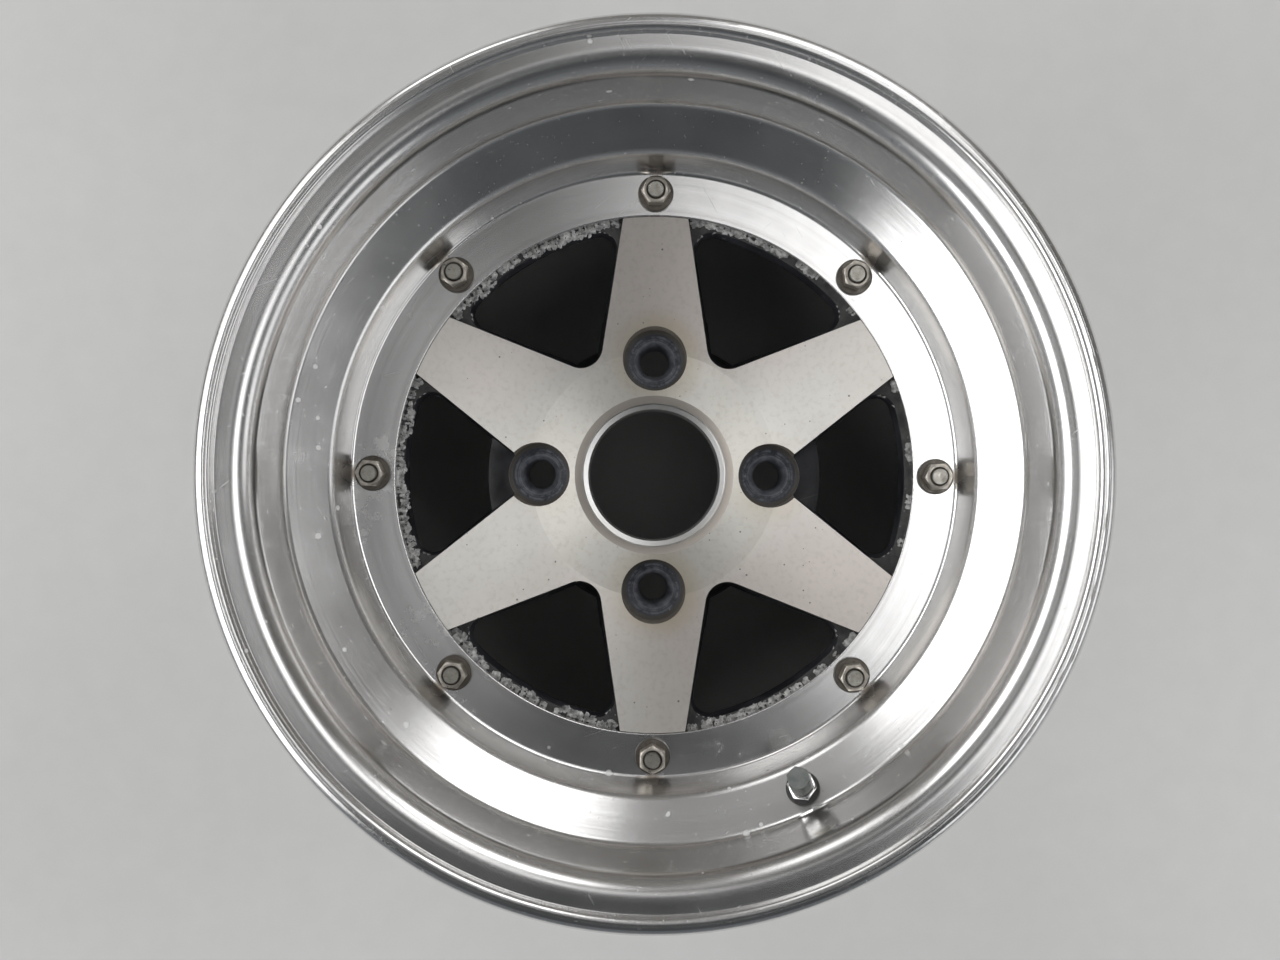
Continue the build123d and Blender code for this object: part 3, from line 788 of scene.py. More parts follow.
def flaking_paint_tree():
    """Thin chips of lifted paint along a round edge, within the windows, in runs of uneven depth."""
    tree, given, result = new_tree(
        "flaking paint",
        "GeometryNodeTree",
        {
            "Chips": "NodeSocketInt",
            "Chip Size": "NodeSocketFloat",
            "Chip Thickness": "NodeSocketFloat",
            "Edge Radius": "NodeSocketFloat",
            "Deepest Run": "NodeSocketFloat",
            "Height": "NodeSocketFloat",
            "Window Arc": "NodeSocketFloat",
            "Seed": "NodeSocketInt",
            "Finish": "NodeSocketMaterial",
        },
        {"Flakes": "NodeSocketGeometry"},
    )
    seeds = [calc(tree, "ADD", given["Seed"], i) for i in range(8)]
    angle = chance(tree, 0.0, 2 * pi, seeds[0])
    sides = {0: calc(tree, "COSINE", angle), 1: calc(tree, "SINE", angle)}
    way = add_node(tree, "ShaderNodeCombineXYZ", sides).outputs[0]
    runs = noise(tree, way, 7.0, 6.0, 0.7)
    left = grade(tree, calc(tree, "COSINE", calc(tree, "SUBTRACT", angle, pi)), -0.7, 0.4, 0.22, 1.0)
    depth = times(tree, times(tree, left, grade(tree, runs, 0.38, 0.58)), given["Deepest Run"])
    inward = times(tree, depth, chance(tree, 0.0, 1.0, seeds[1]))
    radius = calc(tree, "SUBTRACT", given["Edge Radius"], inward)
    height = calc(tree, "ADD", given["Height"], chance(tree, 0.0, CHIP_STACK * MM, seeds[2]))
    ahead = add_node(tree, "ShaderNodeCombineXYZ", {0: radius, 2: height}).outputs[0]
    place = add_node(
        tree, "ShaderNodeVectorRotate", {"Vector": ahead, "Angle": angle}, rotation_type="Z_AXIS"
    ).outputs[0]
    points = add_node(tree, "GeometryNodePoints", {"Count": given["Chips"], "Position": place}).outputs[0]
    from_middle = calc(tree, "PINGPONG", angle, pi / 6)
    bare = calc(tree, "GREATER_THAN", from_middle, given["Window Arc"])
    bare = calc(tree, "MAXIMUM", bare, calc(tree, "LESS_THAN", depth, SHALLOWEST_RUN * MM))
    unwanted = {0: points, "Selection": bare}
    points = add_node(tree, "GeometryNodeDeleteGeometry", unwanted, domain="POINT").outputs[0]
    form = {"Vertices": 5, "Radius": given["Chip Size"], "Depth": given["Chip Thickness"]}
    chip = add_node(tree, "GeometryNodeMeshCylinder", form).outputs[0]
    lift = [chance(tree, -0.22, 0.22, seeds[3]), chance(tree, -0.22, 0.22, seeds[4])]
    spin = chance(tree, 0.0, 2 * pi, seeds[5])
    turn = add_node(tree, "ShaderNodeCombineXYZ", {0: lift[0], 1: lift[1], 2: spin}).outputs[0]
    spread = [chance(tree, 0.3, 1.0, seeds[6]), chance(tree, 0.3, 1.0, seeds[7])]
    size = add_node(tree, "ShaderNodeCombineXYZ", {0: spread[0], 1: spread[1], 2: 1.0}).outputs[0]
    setting = {"Points": points, "Instance": chip, "Rotation": turn, "Scale": size}
    chips = add_node(tree, "GeometryNodeInstanceOnPoints", setting).outputs[0]
    chips = add_node(tree, "GeometryNodeRealizeInstances", {0: chips}).outputs[0]
    rough = add_node(tree, "ShaderNodeTexNoise", {"Scale": 1300.0, "Detail": 1.0}).outputs["Color"]
    for operation, by in (("SUBTRACT", (0.5, 0.5, 0.5)), ("MULTIPLY", CHIP_UNEVENNESS)):
        rough = add_node(tree, "ShaderNodeVectorMath", {0: rough, 1: by}, operation=operation).outputs[0]
    chips = add_node(tree, "GeometryNodeSetPosition", {0: chips, "Offset": rough}).outputs[0]
    chips = add_node(tree, "GeometryNodeSetMaterial", {0: chips, "Material": given["Finish"]}).outputs[0]
    tree.links.new(chips, result["Flakes"])
    return tree


def disc_finish_index(corners, up):
    """Which of the disc's finishes a face has, from its corners and the upward part of its normal."""
    height = max(corner.z for corner in corners) / MM
    reach = max(hypot(corner.x, corner.y) for corner in corners) / MM
    turns = [2 * pi * k / LUGS for k in range(LUGS)]
    lugs = [Vector((LUG_R * MM * cos(turn), LUG_R * MM * sin(turn))) for turn in turns]
    from_lug = min(max((corner.xy - lug).length for corner in corners) for lug in lugs) / MM
    on_ledge = reach > LEDGE_R and abs(height - RING_FRONT_Z) < 0.5
    # Painted highlight: the sloped broken edges of the ledge take the pale chip colour, partly as rubbed
    # paint and partly so that they look lit like an edge catching light.
    if on_ledge and 0.15 < up < 0.97:
        return CHIPPED_AND_LIT_EDGE
    if on_ledge and up > 0.8:
        return LEDGE
    if up > 0.8 and height > HUB_FACE_Z - 0.3:
        return FACE
    if reach < BORE_CHAMFER_R + 0.2 or (height < 0.2 and up < -0.5):
        return BORE
    if from_lug < LUG_POCKET_R + 0.3 and height > 1:
        return POCKET
    return PAINT


def join(piece, other):
    """Adds another piece's mesh to a piece, and removes the other."""
    both = bmesh.new()
    both.from_mesh(piece.data)
    both.from_mesh(other.data)
    both.to_mesh(piece.data)
    both.free()
    bpy.data.objects.remove(other)


def turned_face_normals(mesh):
    """Exact normals on the turned face: straight up on the hub, leaning inwards on the spokes."""
    normals = [Vector((0, 0, 0)) for _ in mesh.loops]
    for face in mesh.polygons:
        if face.material_index != FACE:
            continue
        for corner in face.loop_indices:
            place = mesh.vertices[mesh.loops[corner].vertex_index].co
            if face.normal.z > 0.998:
                normals[corner] = Vector((0, 0, 1))
            elif face.normal.z > 0.97:
                inwards = Vector((-place.x, -place.y, 0)).normalized()
                normals[corner] = inwards * sin(SPOKE_SLOPE) + Vector((0, 0, cos(SPOKE_SLOPE)))
    mesh.normals_split_custom_set(normals)


chip_and_lit_edge_paint = chip_and_lit_edge_finish()
disc = cad_copy("six_spoke_disc", "centre_disc", EDGE_BREAK)
for finish in (
    turned_face_finish(),
    bore_finish(),
    black_paint_finish(),
    lug_pocket_finish(),
    ledge_finish(),
    chip_and_lit_edge_paint,
):
    disc.data.materials.append(finish)
for face in disc.data.polygons:
    corners = [disc.data.vertices[index].co for index in face.vertices]
    face.material_index = disc_finish_index(corners, face.normal.z)
flakes = grow(
    new_piece("lifted_paint"),
    flaking_paint_tree(),
    {
        "Chips": CHIPS,
        "Chip Size": CHIP_SIZE * MM,
        "Chip Thickness": CHIP_THICKNESS * MM,
        "Edge Radius": (RIM_BORE_R - 0.3) * MM,
        "Deepest Run": DEEPEST_RUN * MM,
        "Height": (RING_FRONT_Z + 0.1) * MM,
        "Window Arc": radians(WINDOW_HALF_ARC),
        "Seed": CHIP_SEED,
        "Finish": chip_and_lit_edge_paint,
    },
)
for face in flakes.data.polygons:
    face.material_index = CHIPPED_AND_LIT_EDGE
join(disc, flakes)
turned_face_normals(disc.data)
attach(disc, "root")
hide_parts("centre_disc")


# Outer rim half: the polished aluminium lip, spun to shape, with its flange bolted over the disc.
# Years of polishing have left fine circular lines, pits, scratches and a scuffed edge.

LIP_TOP_Z = cad_box[1][2] / MM
OUTER_WELL_R = WELL_OUTER_R - 4.9
OUTER_STEP_ANGLE = 29.9
OUTER_WELL_END = 17.0
VALVE_TURN = -64.3
VALVE_HOLE_D = 11.5
VALVE_SPOT_D = 17.0
VALVE_SPOT_DEPTH = 0.15
GROOVE_PITCH = 1.2
GROOVED_DEPTH = 2.5
GROOVED_BAND = ((187.8, 188.1), (192.2, 192.5))
SCUFFED_BAND = ((189.5, 190.2), (191.8, 192.5))
FLANGE_END = (144.5, 143.5)
STAIN_OFFSET = 9.6
STAIN_SIZE = (1.5, 4.5)
CUTTER_REACH = 12.0


def valve_place():
    """Where the valve stands: half way up the step, square to its slope."""
    middle_r = (OUTER_WELL_R + BARREL_R) / 2
    rise = (middle_r - OUTER_WELL_R) * tan(radians(OUTER_STEP_ANGLE))
    on_step = Vector((middle_r, 0, RING_FRONT_Z + OUTER_WELL_END + rise)) * MM
    lean = Matrix.Rotation(radians(-OUTER_STEP_ANGLE), 4, "Y")
    return Matrix.Rotation(radians(VALVE_TURN), 4, "Z") @ Matrix.Translation(on_step) @ lean


def band(tree, length, rise, fall):
    """A mask of 1 between two soft limits, each a pair in mm."""
    return times(tree, fade(tree, length, rise), fade(tree, length, fall, 1.0, 0.0))


def white_bloom(tree, there, radius, angle):
    """White corrosion: scattered specks, and cloudy patches that gather on the flange's lower left."""
    specks = spots(tree, there, 140.0, 0.07, 0.05, 0.16, (0.5, 1.2))
    lower_left = grade(tree, calc(tree, "COSINE", calc(tree, "SUBTRACT", angle, 3.4)), 0.4, 1.0, 0.0, 0.10)
    patches = calc(tree, "ADD", noise(tree, there, 42.0, 6.0, 0.7), lower_left)
    patches = grade(tree, patches, 0.62, 0.80, 0.0, 0.4)
    on_flange = fade(tree, radius, FLANGE_END, 0.2, 1.0)
    return calc(tree, "MAXIMUM", specks, times(tree, patches, on_flange))


def edge_scuffs(tree, radius, angle):
    """Knocks along the rim's edge, most of them on its right."""
    sides = {0: times(tree, angle, 14.0), 1: times(tree, radius, 1100.0)}
    along_edge = add_node(tree, "ShaderNodeCombineXYZ", sides).outputs[0]
    right = grade(tree, calc(tree, "COSINE", calc(tree, "ADD", angle, 0.25)), 0.35, 0.75, 0.0, 0.12)
    knocks = calc(tree, "ADD", noise(tree, along_edge, 1.0, 4.0), right)
    return times(tree, grade(tree, knocks, 0.70, 0.74), band(tree, radius, *SCUFFED_BAND))


def bead_grooves(tree, radius, height):
    """Turning grooves on the top of the rim's bead."""
    grooves = times(tree, calc(tree, "PINGPONG", radius, GROOVE_PITCH * MM / 2), 2 / GROOVE_PITCH / MM)
    on_bead = band(tree, radius, *GROOVED_BAND)
    on_top = calc(tree, "GREATER_THAN", height, (LIP_TOP_Z - GROOVED_DEPTH) * MM)
    return times(tree, grooves, times(tree, on_bead, on_top))


def polished_finish():
    finish, tree, inputs = new_finish("polished lip aluminium", anisotropic=0.45)
    there, radius, angle, height = wheel_place(tree)
    worn = ageing_on(tree, clouds=17.0, pits=330.0, pit_share=0.03, scratches=1000.0)
    lines = lines_on(tree, 1000.0)
    streaks = lines_on(tree, 260.0)
    bloom = white_bloom(tree, there, radius, angle)
    scuffed = edge_scuffs(tree, radius, angle)
    stain = fade(tree, circle_distance(tree, BOLT_R + STAIN_OFFSET, BOLTS), STAIN_SIZE, 1.0, 0.0)
    rust = times(tree, stain, grade(tree, worn["Clouds"], 0.0, 0.8, 0.35, 0.9))
    colour = blend(tree, times(tree, worn["Clouds"], 0.5), (0.88, 0.875, 0.87), (0.76, 0.755, 0.76))
    colour = blend(tree, grade(tree, streaks, 0.42, 0.60, 0.0, 0.34), colour, (0.56, 0.545, 0.53))
    colour = blend(tree, times(tree, rust, 0.8), colour, (0.30, 0.22, 0.14))
    colour = blend(tree, times(tree, worn["Pits"], 0.6), colour, (0.35, 0.33, 0.31))
    colour = blend(tree, bloom, colour, (0.84, 0.84, 0.83))
    colour = blend(tree, scuffed, colour, (0.33, 0.32, 0.31))
    polish = total(tree, 0.12, (0.06, worn["Clouds"]), (0.06, lines), (0.10, streaks))
    rough = total(tree, polish, (0.35, bloom), (0.15, rust), (0.3, scuffed), (0.12, worn["Scratches"]))
    link_finish(tree, inputs, colour, rough, total(tree, 1.0, (-0.5, bloom), (-0.25, rust)))
    turned = total(tree, 0.0, (0.15, lines), (1.6, streaks), (1.5, bead_grooves(tree, radius, height)))
    relief(tree, inputs, total(tree, turned, (-0.3, worn["Pits"]), (-0.3, scuffed)), 0.2, 0.00012)
    round_grain(tree, inputs)
    return finish


polished = polished_finish()
outer_rows = rim_section(LIP_TOP_Z - RING_FRONT_Z, OUTER_WELL_R, OUTER_WELL_END, OUTER_STEP_ANGLE)
outer_rim = turned_piece("polished_lip", placed(rounded_section(outer_rows), RING_FRONT_Z), polished)
drill(outer_rim, bolt_hole_cutter(polished))
spot_r = VALVE_SPOT_D / 2 * MM
hole_r = VALVE_HOLE_D / 2 * MM
spot_front = -VALVE_SPOT_DEPTH * MM
spot_rear = (VALVE_SPOT_DEPTH - STEP_WALL) * MM
reach = CUTTER_REACH * MM
valve_cut = [
    (0, 0, -reach),
    (spot_r, 0, -reach),
    (spot_r, 0, spot_rear),
    (hole_r, 0, spot_rear),
    (hole_r, 0, spot_front),
    (spot_r, 0, spot_front),
    (spot_r, 0, reach),
    (0, 0, reach),
]
valve_cutter = turned_piece("valve_cutter", valve_cut, polished, 64, 0)
valve_cutter.data.transform(valve_place())
drill(outer_rim, valve_cutter)
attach(outer_rim, "root")
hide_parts("outer_rim_half")


# Clamping hardware: eight steel bolts from behind, each with a washer under its head and a washer
# and hexagon nut in front. The zinc has dulled, and the washers have gone brown with rust.

HEX_FLATS = 12.0
HEX_CORNER_R = HEX_FLATS / 2 / cos(pi / 6)
HEX_LAND_R = HEX_FLATS / 2 - 0.25
BOLT_D = 8.0
BOLT_PITCH = 1.25
BOLT_THREAD_DEPTH = 0.6
BOLT_END_CHAMFER = 0.5
THREAD_BELOW_NUT = 3.0
THREAD_STEP = 0.16
SHANK_IN_HEAD = 1.0
WASHER_R = 8.5
NUT_TURNS = (4.0, -6.0, 30.0, 12.0, -3.0, 8.0, 0.0, -9.0)
bolt_low, bolt_high = (corner.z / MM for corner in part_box("assembly_bolts"))
nut_low, nut_high = (corner.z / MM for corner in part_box("assembly_nuts"))
nut_washer_low, nut_washer_high = (corner.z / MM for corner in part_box("nut_washers"))
head_washer_low, head_washer_high = (corner.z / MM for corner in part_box("head_washers"))


def steel_finish(name, bright, dull, metal, dark_band=None):
    """Aged metal; the last argument gives the distances in mm from the bolt axis over which the colour
    turns darker.
    """
    finish, tree, inputs = new_finish(name)
    worn = ageing_on(tree, clouds=380.0, pits=700.0, pit_share=0.35, scratches=600.0)
    colour = blend(tree, worn["Clouds"], bright, dull)
    colour = blend(tree, times(tree, worn["Pits"], 0.6), colour, (0.10, 0.07, 0.05))
    height = total(tree, 0.0, (0.6, worn["Clouds"]), (-0.6, worn["Pits"]))
    # Darker towards the outside of the bolt, the bore of the nut and the rim of the washer.
    if dark_band:
        off_axis = circle_distance(tree, BOLT_R, BOLTS)
        colour = blend(tree, fade(tree, off_axis, dark_band, 0.0, 0.75), colour, (0.035, 0.03, 0.025))
        height = total(tree, height, (0.8, rings_about(tree, off_axis, 1400.0)))
    rough = total(tree, 0.27, (0.22, worn["Clouds"]), (0.15, worn["Pits"]))
    link_finish(tree, inputs, colour, rough, total(tree, metal, (-0.25, worn["Clouds"])))
    relief(tree, inputs, height, 0.3, 0.0002)
    return finish


def chamfer_rows(land_r, corner_r, height, steps=6):
    """Rows down the cone that turns the corners off one end of a hexagon."""
    drop = (corner_r - land_r) * tan(radians(30))
    return [(land_r + (corner_r - land_r) * i / steps, height - drop * i / steps) for i in range(steps + 1)]


def in_metres(rows):
    """Section points from rows of radius and height in mm."""
    return [(radius * MM, 0, height * MM) for radius, height in rows]


def nut_section(low, high, bore_r, land_r, corner_r):
    """Section of a nut: chamfered outside, with a countersink at both ends of the bore."""
    middle = (low + high) / 2
    top = chamfer_rows(land_r, corner_r, high)
    bottom = [(radius, 2 * middle - height) for radius, height in reversed(top)]
    bore = [(bore_r, low + 0.5), (bore_r, high - 0.5)]
    return in_metres([*bore, (bore_r + 0.4, high), *top, *bottom, (bore_r + 0.4, low)])


def washer_section(low, high, bore_r, outer_r):
    """Section of a washer with rounded edges."""
    rows = [(bore_r, low, 0.2), (outer_r, low, 0.35), (outer_r, high, 0.45), (bore_r, high, 0.3)]
    return rounded_section(rows, 0.2, 3.0)


def thread_rows(radius, low, high):
    """Close rows up a cylinder, for a thread to be cut in."""
    steps = int((high - low) / THREAD_STEP)
    return [(radius, low + (high - low) * i / steps) for i in range(steps + 1)]


def bolt_mesh(finish):
    """A bolt on the axis: hexagon head and a shank whose end is threaded."""
    seat = head_washer_low
    head_rows = [(0, bolt_low)]
    turned_end = chamfer_rows(HEX_LAND_R, HEX_CORNER_R, 0)
    head_rows += [(radius, bolt_low - height) for radius, height in turned_end]
    head_rows += [(HEX_CORNER_R, seat), (0, seat)]
    head = turned_piece("bolt_head", in_metres(head_rows), finish, 72, 0, HEX_FLATS * MM)
    thread_from = nut_low - THREAD_BELOW_NUT
    rows = [(0, seat - SHANK_IN_HEAD), (BOLT_D / 2, seat - SHANK_IN_HEAD)]
    rows += thread_rows(BOLT_D / 2, thread_from, bolt_high - BOLT_END_CHAMFER)
    rows += [(BOLT_D / 2 - BOLT_END_CHAMFER, bolt_high), (BOLT_D / 2 - 2, bolt_high), (0, bolt_high)]
    thread = (BOLT_D * MM, BOLT_PITCH * MM, BOLT_THREAD_DEPTH * MM, thread_from * MM)
    shank = turned_piece("bolt_shank", in_metres(rows), finish, 48, 0, thread=thread)
    join(head, shank)
    return head


bolt_steel = steel_finish("dull bolt zinc", (0.46, 0.45, 0.41), (0.30, 0.28, 0.24), 0.95, (3.4, 3.8))
nut_steel = steel_finish("oxidised nut zinc", (0.54, 0.51, 0.46), (0.33, 0.30, 0.26), 1.0, (4.9, 4.5))
browned = (0.17, 0.155, 0.135)
washer_steel = steel_finish("browned washer steel", browned, (0.10, 0.085, 0.07), 0.5, (7.9, 8.3))

bolts = around_bolt_circle("clamping_bolts", bolt_mesh(bolt_steel), bolt_steel)
nut = nut_section(nut_low, nut_high, BOLT_D / 2 + 0.05, HEX_LAND_R, HEX_CORNER_R)
nut = turned_piece("one_nut", nut, nut_steel, 72, 1, HEX_FLATS * MM)
nuts = around_bolt_circle("clamping_nuts", nut, nut_steel, NUT_TURNS)
front_washer = washer_section(nut_washer_low, nut_washer_high, BOLT_HOLE_D / 2, WASHER_R)
front_washer = turned_piece("one_washer", front_washer, washer_steel, 72)
nut_washers = around_bolt_circle("front_washers", front_washer, washer_steel)
rear_washer = washer_section(head_washer_low, head_washer_high, BOLT_HOLE_D / 2, WASHER_R)
rear_washer = turned_piece("one_rear_washer", rear_washer, washer_steel, 72)
head_washers = around_bolt_circle("rear_washers", rear_washer, washer_steel)
for group, node, slot in (
    (bolts, "assembly_bolts", "bolt_steel"),
    (nuts, "assembly_nuts", "nut_steel"),
    (nut_washers, "nut_washers", "washer_steel"),
    (head_washers, "head_washers", "washer_steel"),
):
    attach(group, "root")
    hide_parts(node)


# Tyre valve: a clamp-in brass stem in a rubber grommet, drawn up by a bright nut on a rubber washer,
# with its core inside and a scuffed grey cap screwed on. It stands square to the step of the lip.

VALVE_STEM_D = 8.0
VALVE_PITCH = 0.8
VALVE_THREAD_DEPTH = 0.4
VALVE_BORE_R = 1.5
VALVE_FOOT_R = 7.5
FOOT_BREAK = 0.3
VALVE_FOOT_Z = -8.35
VALVE_FOOT_TOP = -6.35
GROMMET_TOP = -3.85
GROMMET_R = 8.0
GROMMET_NECK_R = 5.65
GROMMET_NECK_TOP = -0.25
VALVE_WASHER_LOW = -0.15
VALVE_WASHER_R = 7.9
VALVE_NUT_LOW = 1.65
VALVE_NUT_HIGH = 6.65
VALVE_TOP = 21.0
CORE_SEAT_Z = 9.0
CORE_BORE_R = 2.6
CORE_R = 2.55
PLUG_TOP = 15.0
PIN_R = 0.8
AROUND_STEM_R = 4.05
CAP_LOW = 10.0
CAP_TOP = 24.0
CAP_FLATS = 9.6
CAP_TURNED_R = 5.34
CAP_CHAMFER = 0.5
CAP_ROOF = 2.0
CAP_TURN = -12.0


def rubber_finish():
    finish, tree, inputs = new_finish("aged valve rubber", roughness=0.55)
    worn = ageing_on(tree, clouds=220.0, pits=900.0, pit_share=0.3, scratches=500.0)
    link_finish(tree, inputs, blend(tree, worn["Clouds"], (0.018, 0.018, 0.018), (0.06, 0.058, 0.055)))
    relief(tree, inputs, worn["Clouds"], 0.3, 0.0002)
    return finish


def chrome_finish():
    finish, tree, inputs = new_finish("bright valve nut plating", metallic=1.0)
    worn = ageing_on(tree, clouds=260.0, pits=900.0, pit_share=0.3, scratches=500.0)
    colour = blend(tree, times(tree, worn["Pits"], 0.7), (0.80, 0.80, 0.80), (0.30, 0.27, 0.24))
    link_finish(tree, inputs, colour, total(tree, 0.10, (0.15, worn["Clouds"])))
    relief(tree, inputs, worn["Pits"], 0.3, 0.0001)
    return finish


def cap_finish():
    finish, tree, inputs = new_finish("scuffed cap plastic", roughness=0.5)
    worn = ageing_on(tree, clouds=240.0, pits=600.0, pit_share=0.25, scratches=420.0)
    colour = blend(tree, worn["Clouds"], (0.125, 0.14, 0.132), (0.20, 0.212, 0.203))
    colour = blend(tree, worn["Scratches"], colour, (0.34, 0.35, 0.34))
    link_finish(tree, inputs, colour, total(tree, 0.36, (0.2, worn["Clouds"])))
    relief(tree, inputs, total(tree, 0.0, (0.5, worn["Clouds"]), (-0.5, worn["Scratches"])), 0.3, 0.0002)
    return finish


def stem_rows():
    """Section of the stem, from its foot up the outside and down the bore."""
    land = VALVE_FOOT_R - FOOT_BREAK
    rows = [(VALVE_BORE_R, VALVE_FOOT_Z), (land, VALVE_FOOT_Z), (VALVE_FOOT_R, VALVE_FOOT_Z + FOOT_BREAK)]
    rows += [(VALVE_FOOT_R, VALVE_FOOT_TOP - FOOT_BREAK), (land, VALVE_FOOT_TOP)]
    rows += [(VALVE_STEM_D / 2, VALVE_FOOT_TOP)]
    rows += thread_rows(VALVE_STEM_D / 2, VALVE_NUT_LOW, VALVE_TOP - 0.6)
    rows += [(VALVE_STEM_D / 2 - 0.5, VALVE_TOP), (CORE_BORE_R + 0.1, VALVE_TOP)]
    return rows + [(CORE_BORE_R, VALVE_TOP - 0.2), (CORE_BORE_R, CORE_SEAT_Z), (VALVE_BORE_R, CORE_SEAT_Z)]


def core_rows():
    """Section of the core: a plug with its pin."""
    plug = [(0, CORE_SEAT_Z), (CORE_R, CORE_SEAT_Z), (CORE_R, PLUG_TOP - 0.4), (2.2, PLUG_TOP)]
    return plug + [(PIN_R, PLUG_TOP), (PIN_R, VALVE_TOP - 0.3), (PIN_R - 0.3, VALVE_TOP), (0, VALVE_TOP)]


def cap_rows():
    """Section of the cap: from its flat end down the outside and up the hollow for the stem."""
    end = [(0, CAP_TOP), (CAP_TURNED_R - CAP_CHAMFER, CAP_TOP), (CAP_TURNED_R, CAP_TOP - CAP_CHAMFER)]
    skirt = [(CAP_TURNED_R, CAP_LOW + 0.3), (CAP_TURNED_R - 0.3, CAP_LOW)]
    roof = CAP_TOP - CAP_ROOF
    return [*end, *skirt, (AROUND_STEM_R, CAP_LOW), (AROUND_STEM_R, roof), (0, roof)]


valve_brass = steel_finish("worn nickelled brass", (0.55, 0.51, 0.42), (0.38, 0.33, 0.24), 0.95)
rubber = rubber_finish()
chrome = chrome_finish()
thread = (VALVE_STEM_D * MM, VALVE_PITCH * MM, VALVE_THREAD_DEPTH * MM, VALVE_NUT_LOW * MM)
grommet_rows = [
    (AROUND_STEM_R, VALVE_FOOT_TOP, 0),
    (GROMMET_R, VALVE_FOOT_TOP, 0.6),
    (GROMMET_R, GROMMET_TOP, 0.6),
    (GROMMET_NECK_R, GROMMET_TOP, 0),
    (GROMMET_NECK_R, GROMMET_NECK_TOP, 0),
    (AROUND_STEM_R, GROMMET_NECK_TOP, 0),
]
stem = in_metres(stem_rows())
grommet = rounded_section(grommet_rows, 0.2)
washer = washer_section(VALVE_WASHER_LOW, VALVE_NUT_LOW, 4.1, VALVE_WASHER_R)
valve_nut = nut_section(VALVE_NUT_LOW, VALVE_NUT_HIGH, AROUND_STEM_R, HEX_LAND_R, HEX_CORNER_R)
valve_pieces = {
    "valve_stem": turned_piece("tyre_valve_stem", stem, valve_brass, 48, 1, thread=thread),
    "valve_core": turned_piece("tyre_valve_core", in_metres(core_rows()), valve_brass, 32, 0),
    "valve_grommet": turned_piece("tyre_valve_grommet", grommet, rubber, 64),
    "valve_washer": turned_piece("tyre_valve_washer", washer, rubber, 64),
    "valve_nut": turned_piece("tyre_valve_nut", valve_nut, chrome, 72, 1, HEX_FLATS * MM),
    "valve_cap": turned_piece("tyre_valve_cap", in_metres(cap_rows()), cap_finish(), 72, 0, CAP_FLATS * MM),
}
valve_pieces["valve_cap"].data.transform(Matrix.Rotation(radians(CAP_TURN), 4, "Z"))
for node, piece in valve_pieces.items():
    piece.data.transform(valve_place())
    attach(piece, "root")
    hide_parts(node)


# Studio: a pale floor under the wheel, soft panels that its metal mirrors, four fill panels that light
# paint, rubber and floor, and a camera straight above the hub, as the photograph was taken.

CAMERA_EYE = (-0.0015, -0.00245, 0.553)
CAMERA_ROLL = 0.35
CAMERA_LENS = 29.95
CAMERA_SHIFT = -0.0086
FLOOR_SIZE = 8.0


def floor_finish():
    finish, tree, inputs = new_finish("pale floor", roughness=0.8)
    there = add_node(tree, "ShaderNodeTexCoord").outputs["Object"]
    mottle = noise(tree, there, 60.0, 5.0)
    link_finish(tree, inputs, blend(tree, mottle, (0.70, 0.70, 0.69), (0.75, 0.75, 0.74)))
    return finish


def softbox(name, azimuth, tilt, distance, size, radiance, fill=False):
    """A soft panel that faces the wheel, its tilt from straight above.

    The metal mirrors a panel, and a fill panel lights the paint, rubber and floor instead.
    """
    a = radians(azimuth)
    t = radians(tilt)
    direction = Vector((sin(t) * cos(a), sin(t) * sin(a), cos(t)))
    lamp = bpy.data.lights.new(name, "AREA")
    lamp.shape = "RECTANGLE"
    lamp.size, lamp.size_y = size
    lamp.energy = radiance * pi * size[0] * size[1]
    light = bpy.data.objects.new(name, lamp)
    light.location = direction * distance
    light.rotation_mode = "QUATERNION"
    light.rotation_quaternion = direction.to_track_quat("Z", "Y")
    light.visible_diffuse = fill
    light.visible_glossy = not fill
    bpy.context.scene.collection.objects.link(light)


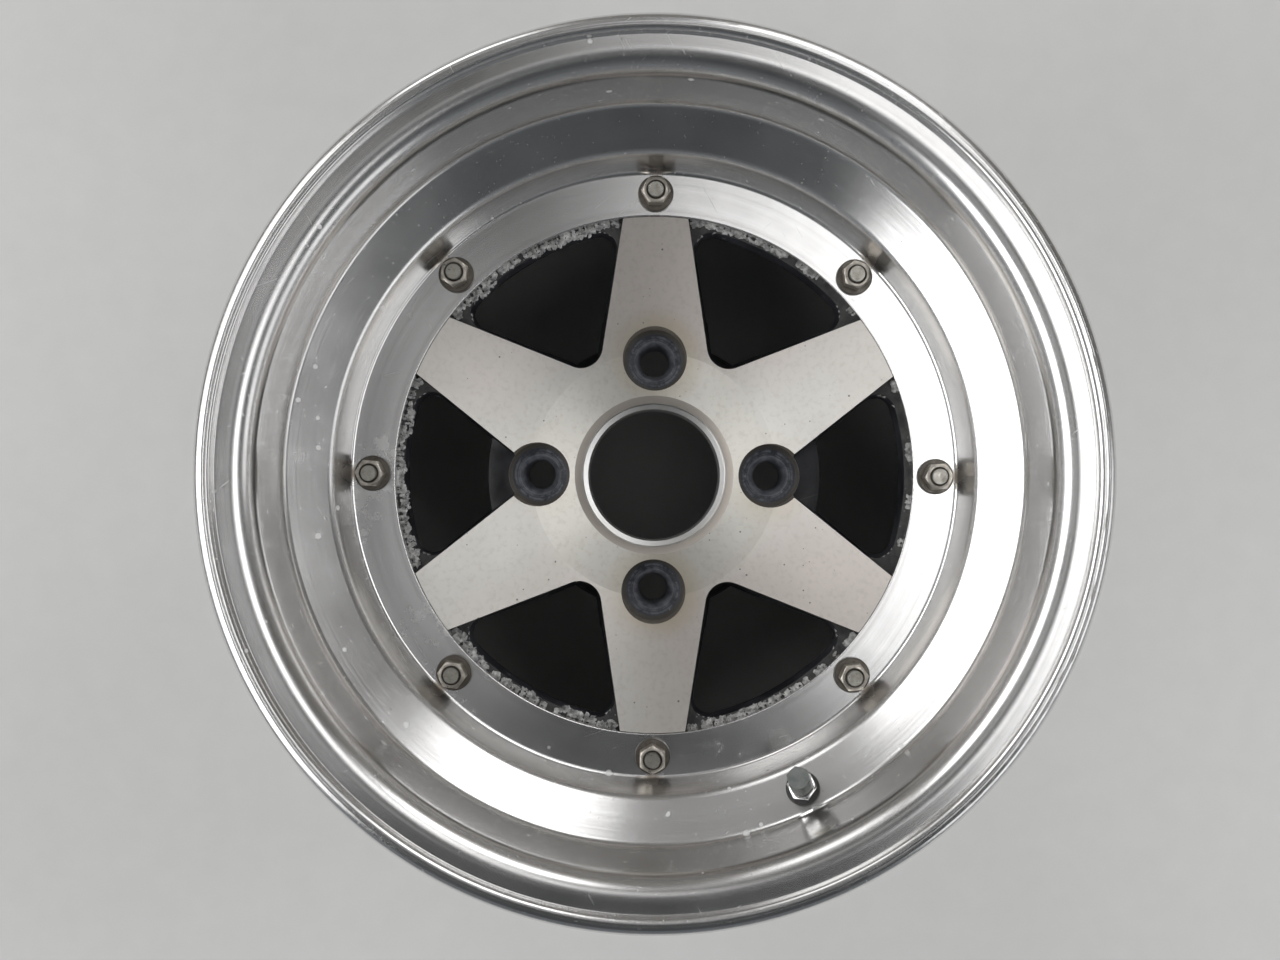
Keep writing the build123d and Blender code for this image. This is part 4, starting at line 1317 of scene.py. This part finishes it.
half = FLOOR_SIZE / 2
floor_z = cad_box[0][2]
floor_mesh = bpy.data.meshes.new("floor")
corners = [(x * half, y * half, floor_z) for x, y in ((-1, -1), (1, -1), (1, 1), (-1, 1))]
floor_mesh.from_pydata(corners, [], [(0, 1, 2, 3)])
floor_mesh.materials.append(floor_finish())
floor = bpy.data.objects.new("floor", floor_mesh)
bpy.context.scene.collection.objects.link(floor)

# Azimuth and tilt in degrees, distance, width and depth in metres, and brightness.
softbox("overhead_far_right", 36, 20, 1.9, (0.85, 0.66), 1.4)
softbox("overhead_near_right", -7, 20, 1.9, (0.8, 0.66), 1.45)
softbox("shoulder", 88, 18, 1.9, (0.32, 0.6), 0.4)
softbox("overhead_left", 178, 13, 2.0, (1.0, 0.5), 0.31)
softbox("far_left", 158, 47, 2.0, (1.3, 0.85), 2.8)
softbox("near_left", 200, 47, 2.0, (1.3, 0.85), 3.7)
softbox("far_right", 66, 46, 2.0, (0.75, 0.7), 3.0)
softbox("far", 110, 44, 2.0, (0.95, 0.8), 0.22)
softbox("low_far", 115, 60, 2.0, (0.6, 0.7), 1.8)
softbox("low_right", -24, 63, 2.0, (1.9, 0.66), 1.15)
for azimuth in (30, 120, 210, 300):
    softbox(f"fill_{azimuth}", azimuth, 64, 2.2, (1.8, 1.0), 3.6, fill=True)

world = bpy.data.worlds.new("studio")
world.use_nodes = True
sky = world.node_tree
background = sky.nodes["Background"].inputs
direction = add_node(sky, "ShaderNodeTexCoord").outputs["Generated"]
skyward = add_node(sky, "ShaderNodeSeparateXYZ", {0: direction}).outputs
sky.links.new(grade(sky, skyward["Z"], 0.75, 0.35, 0.045, 0.17), background["Strength"])
far_side = grade(sky, skyward["Y"], -0.5, 0.5)
sky.links.new(blend(sky, far_side, (0.88, 0.94, 1.0), (1.0, 0.955, 0.89)), background["Color"])
bpy.context.scene.world = world
bpy.context.scene.view_settings.view_transform = "Standard"

camera_data = bpy.data.cameras.new("camera")
camera_data.lens = CAMERA_LENS
camera_data.sensor_width = 36.0
camera_data.shift_x = CAMERA_SHIFT
camera_data.clip_start = 0.01
camera = bpy.data.objects.new("camera", camera_data)
camera.location = CAMERA_EYE
camera.rotation_euler = (0, 0, radians(CAMERA_ROLL))
bpy.context.scene.collection.objects.link(camera)
bpy.context.scene.camera = camera
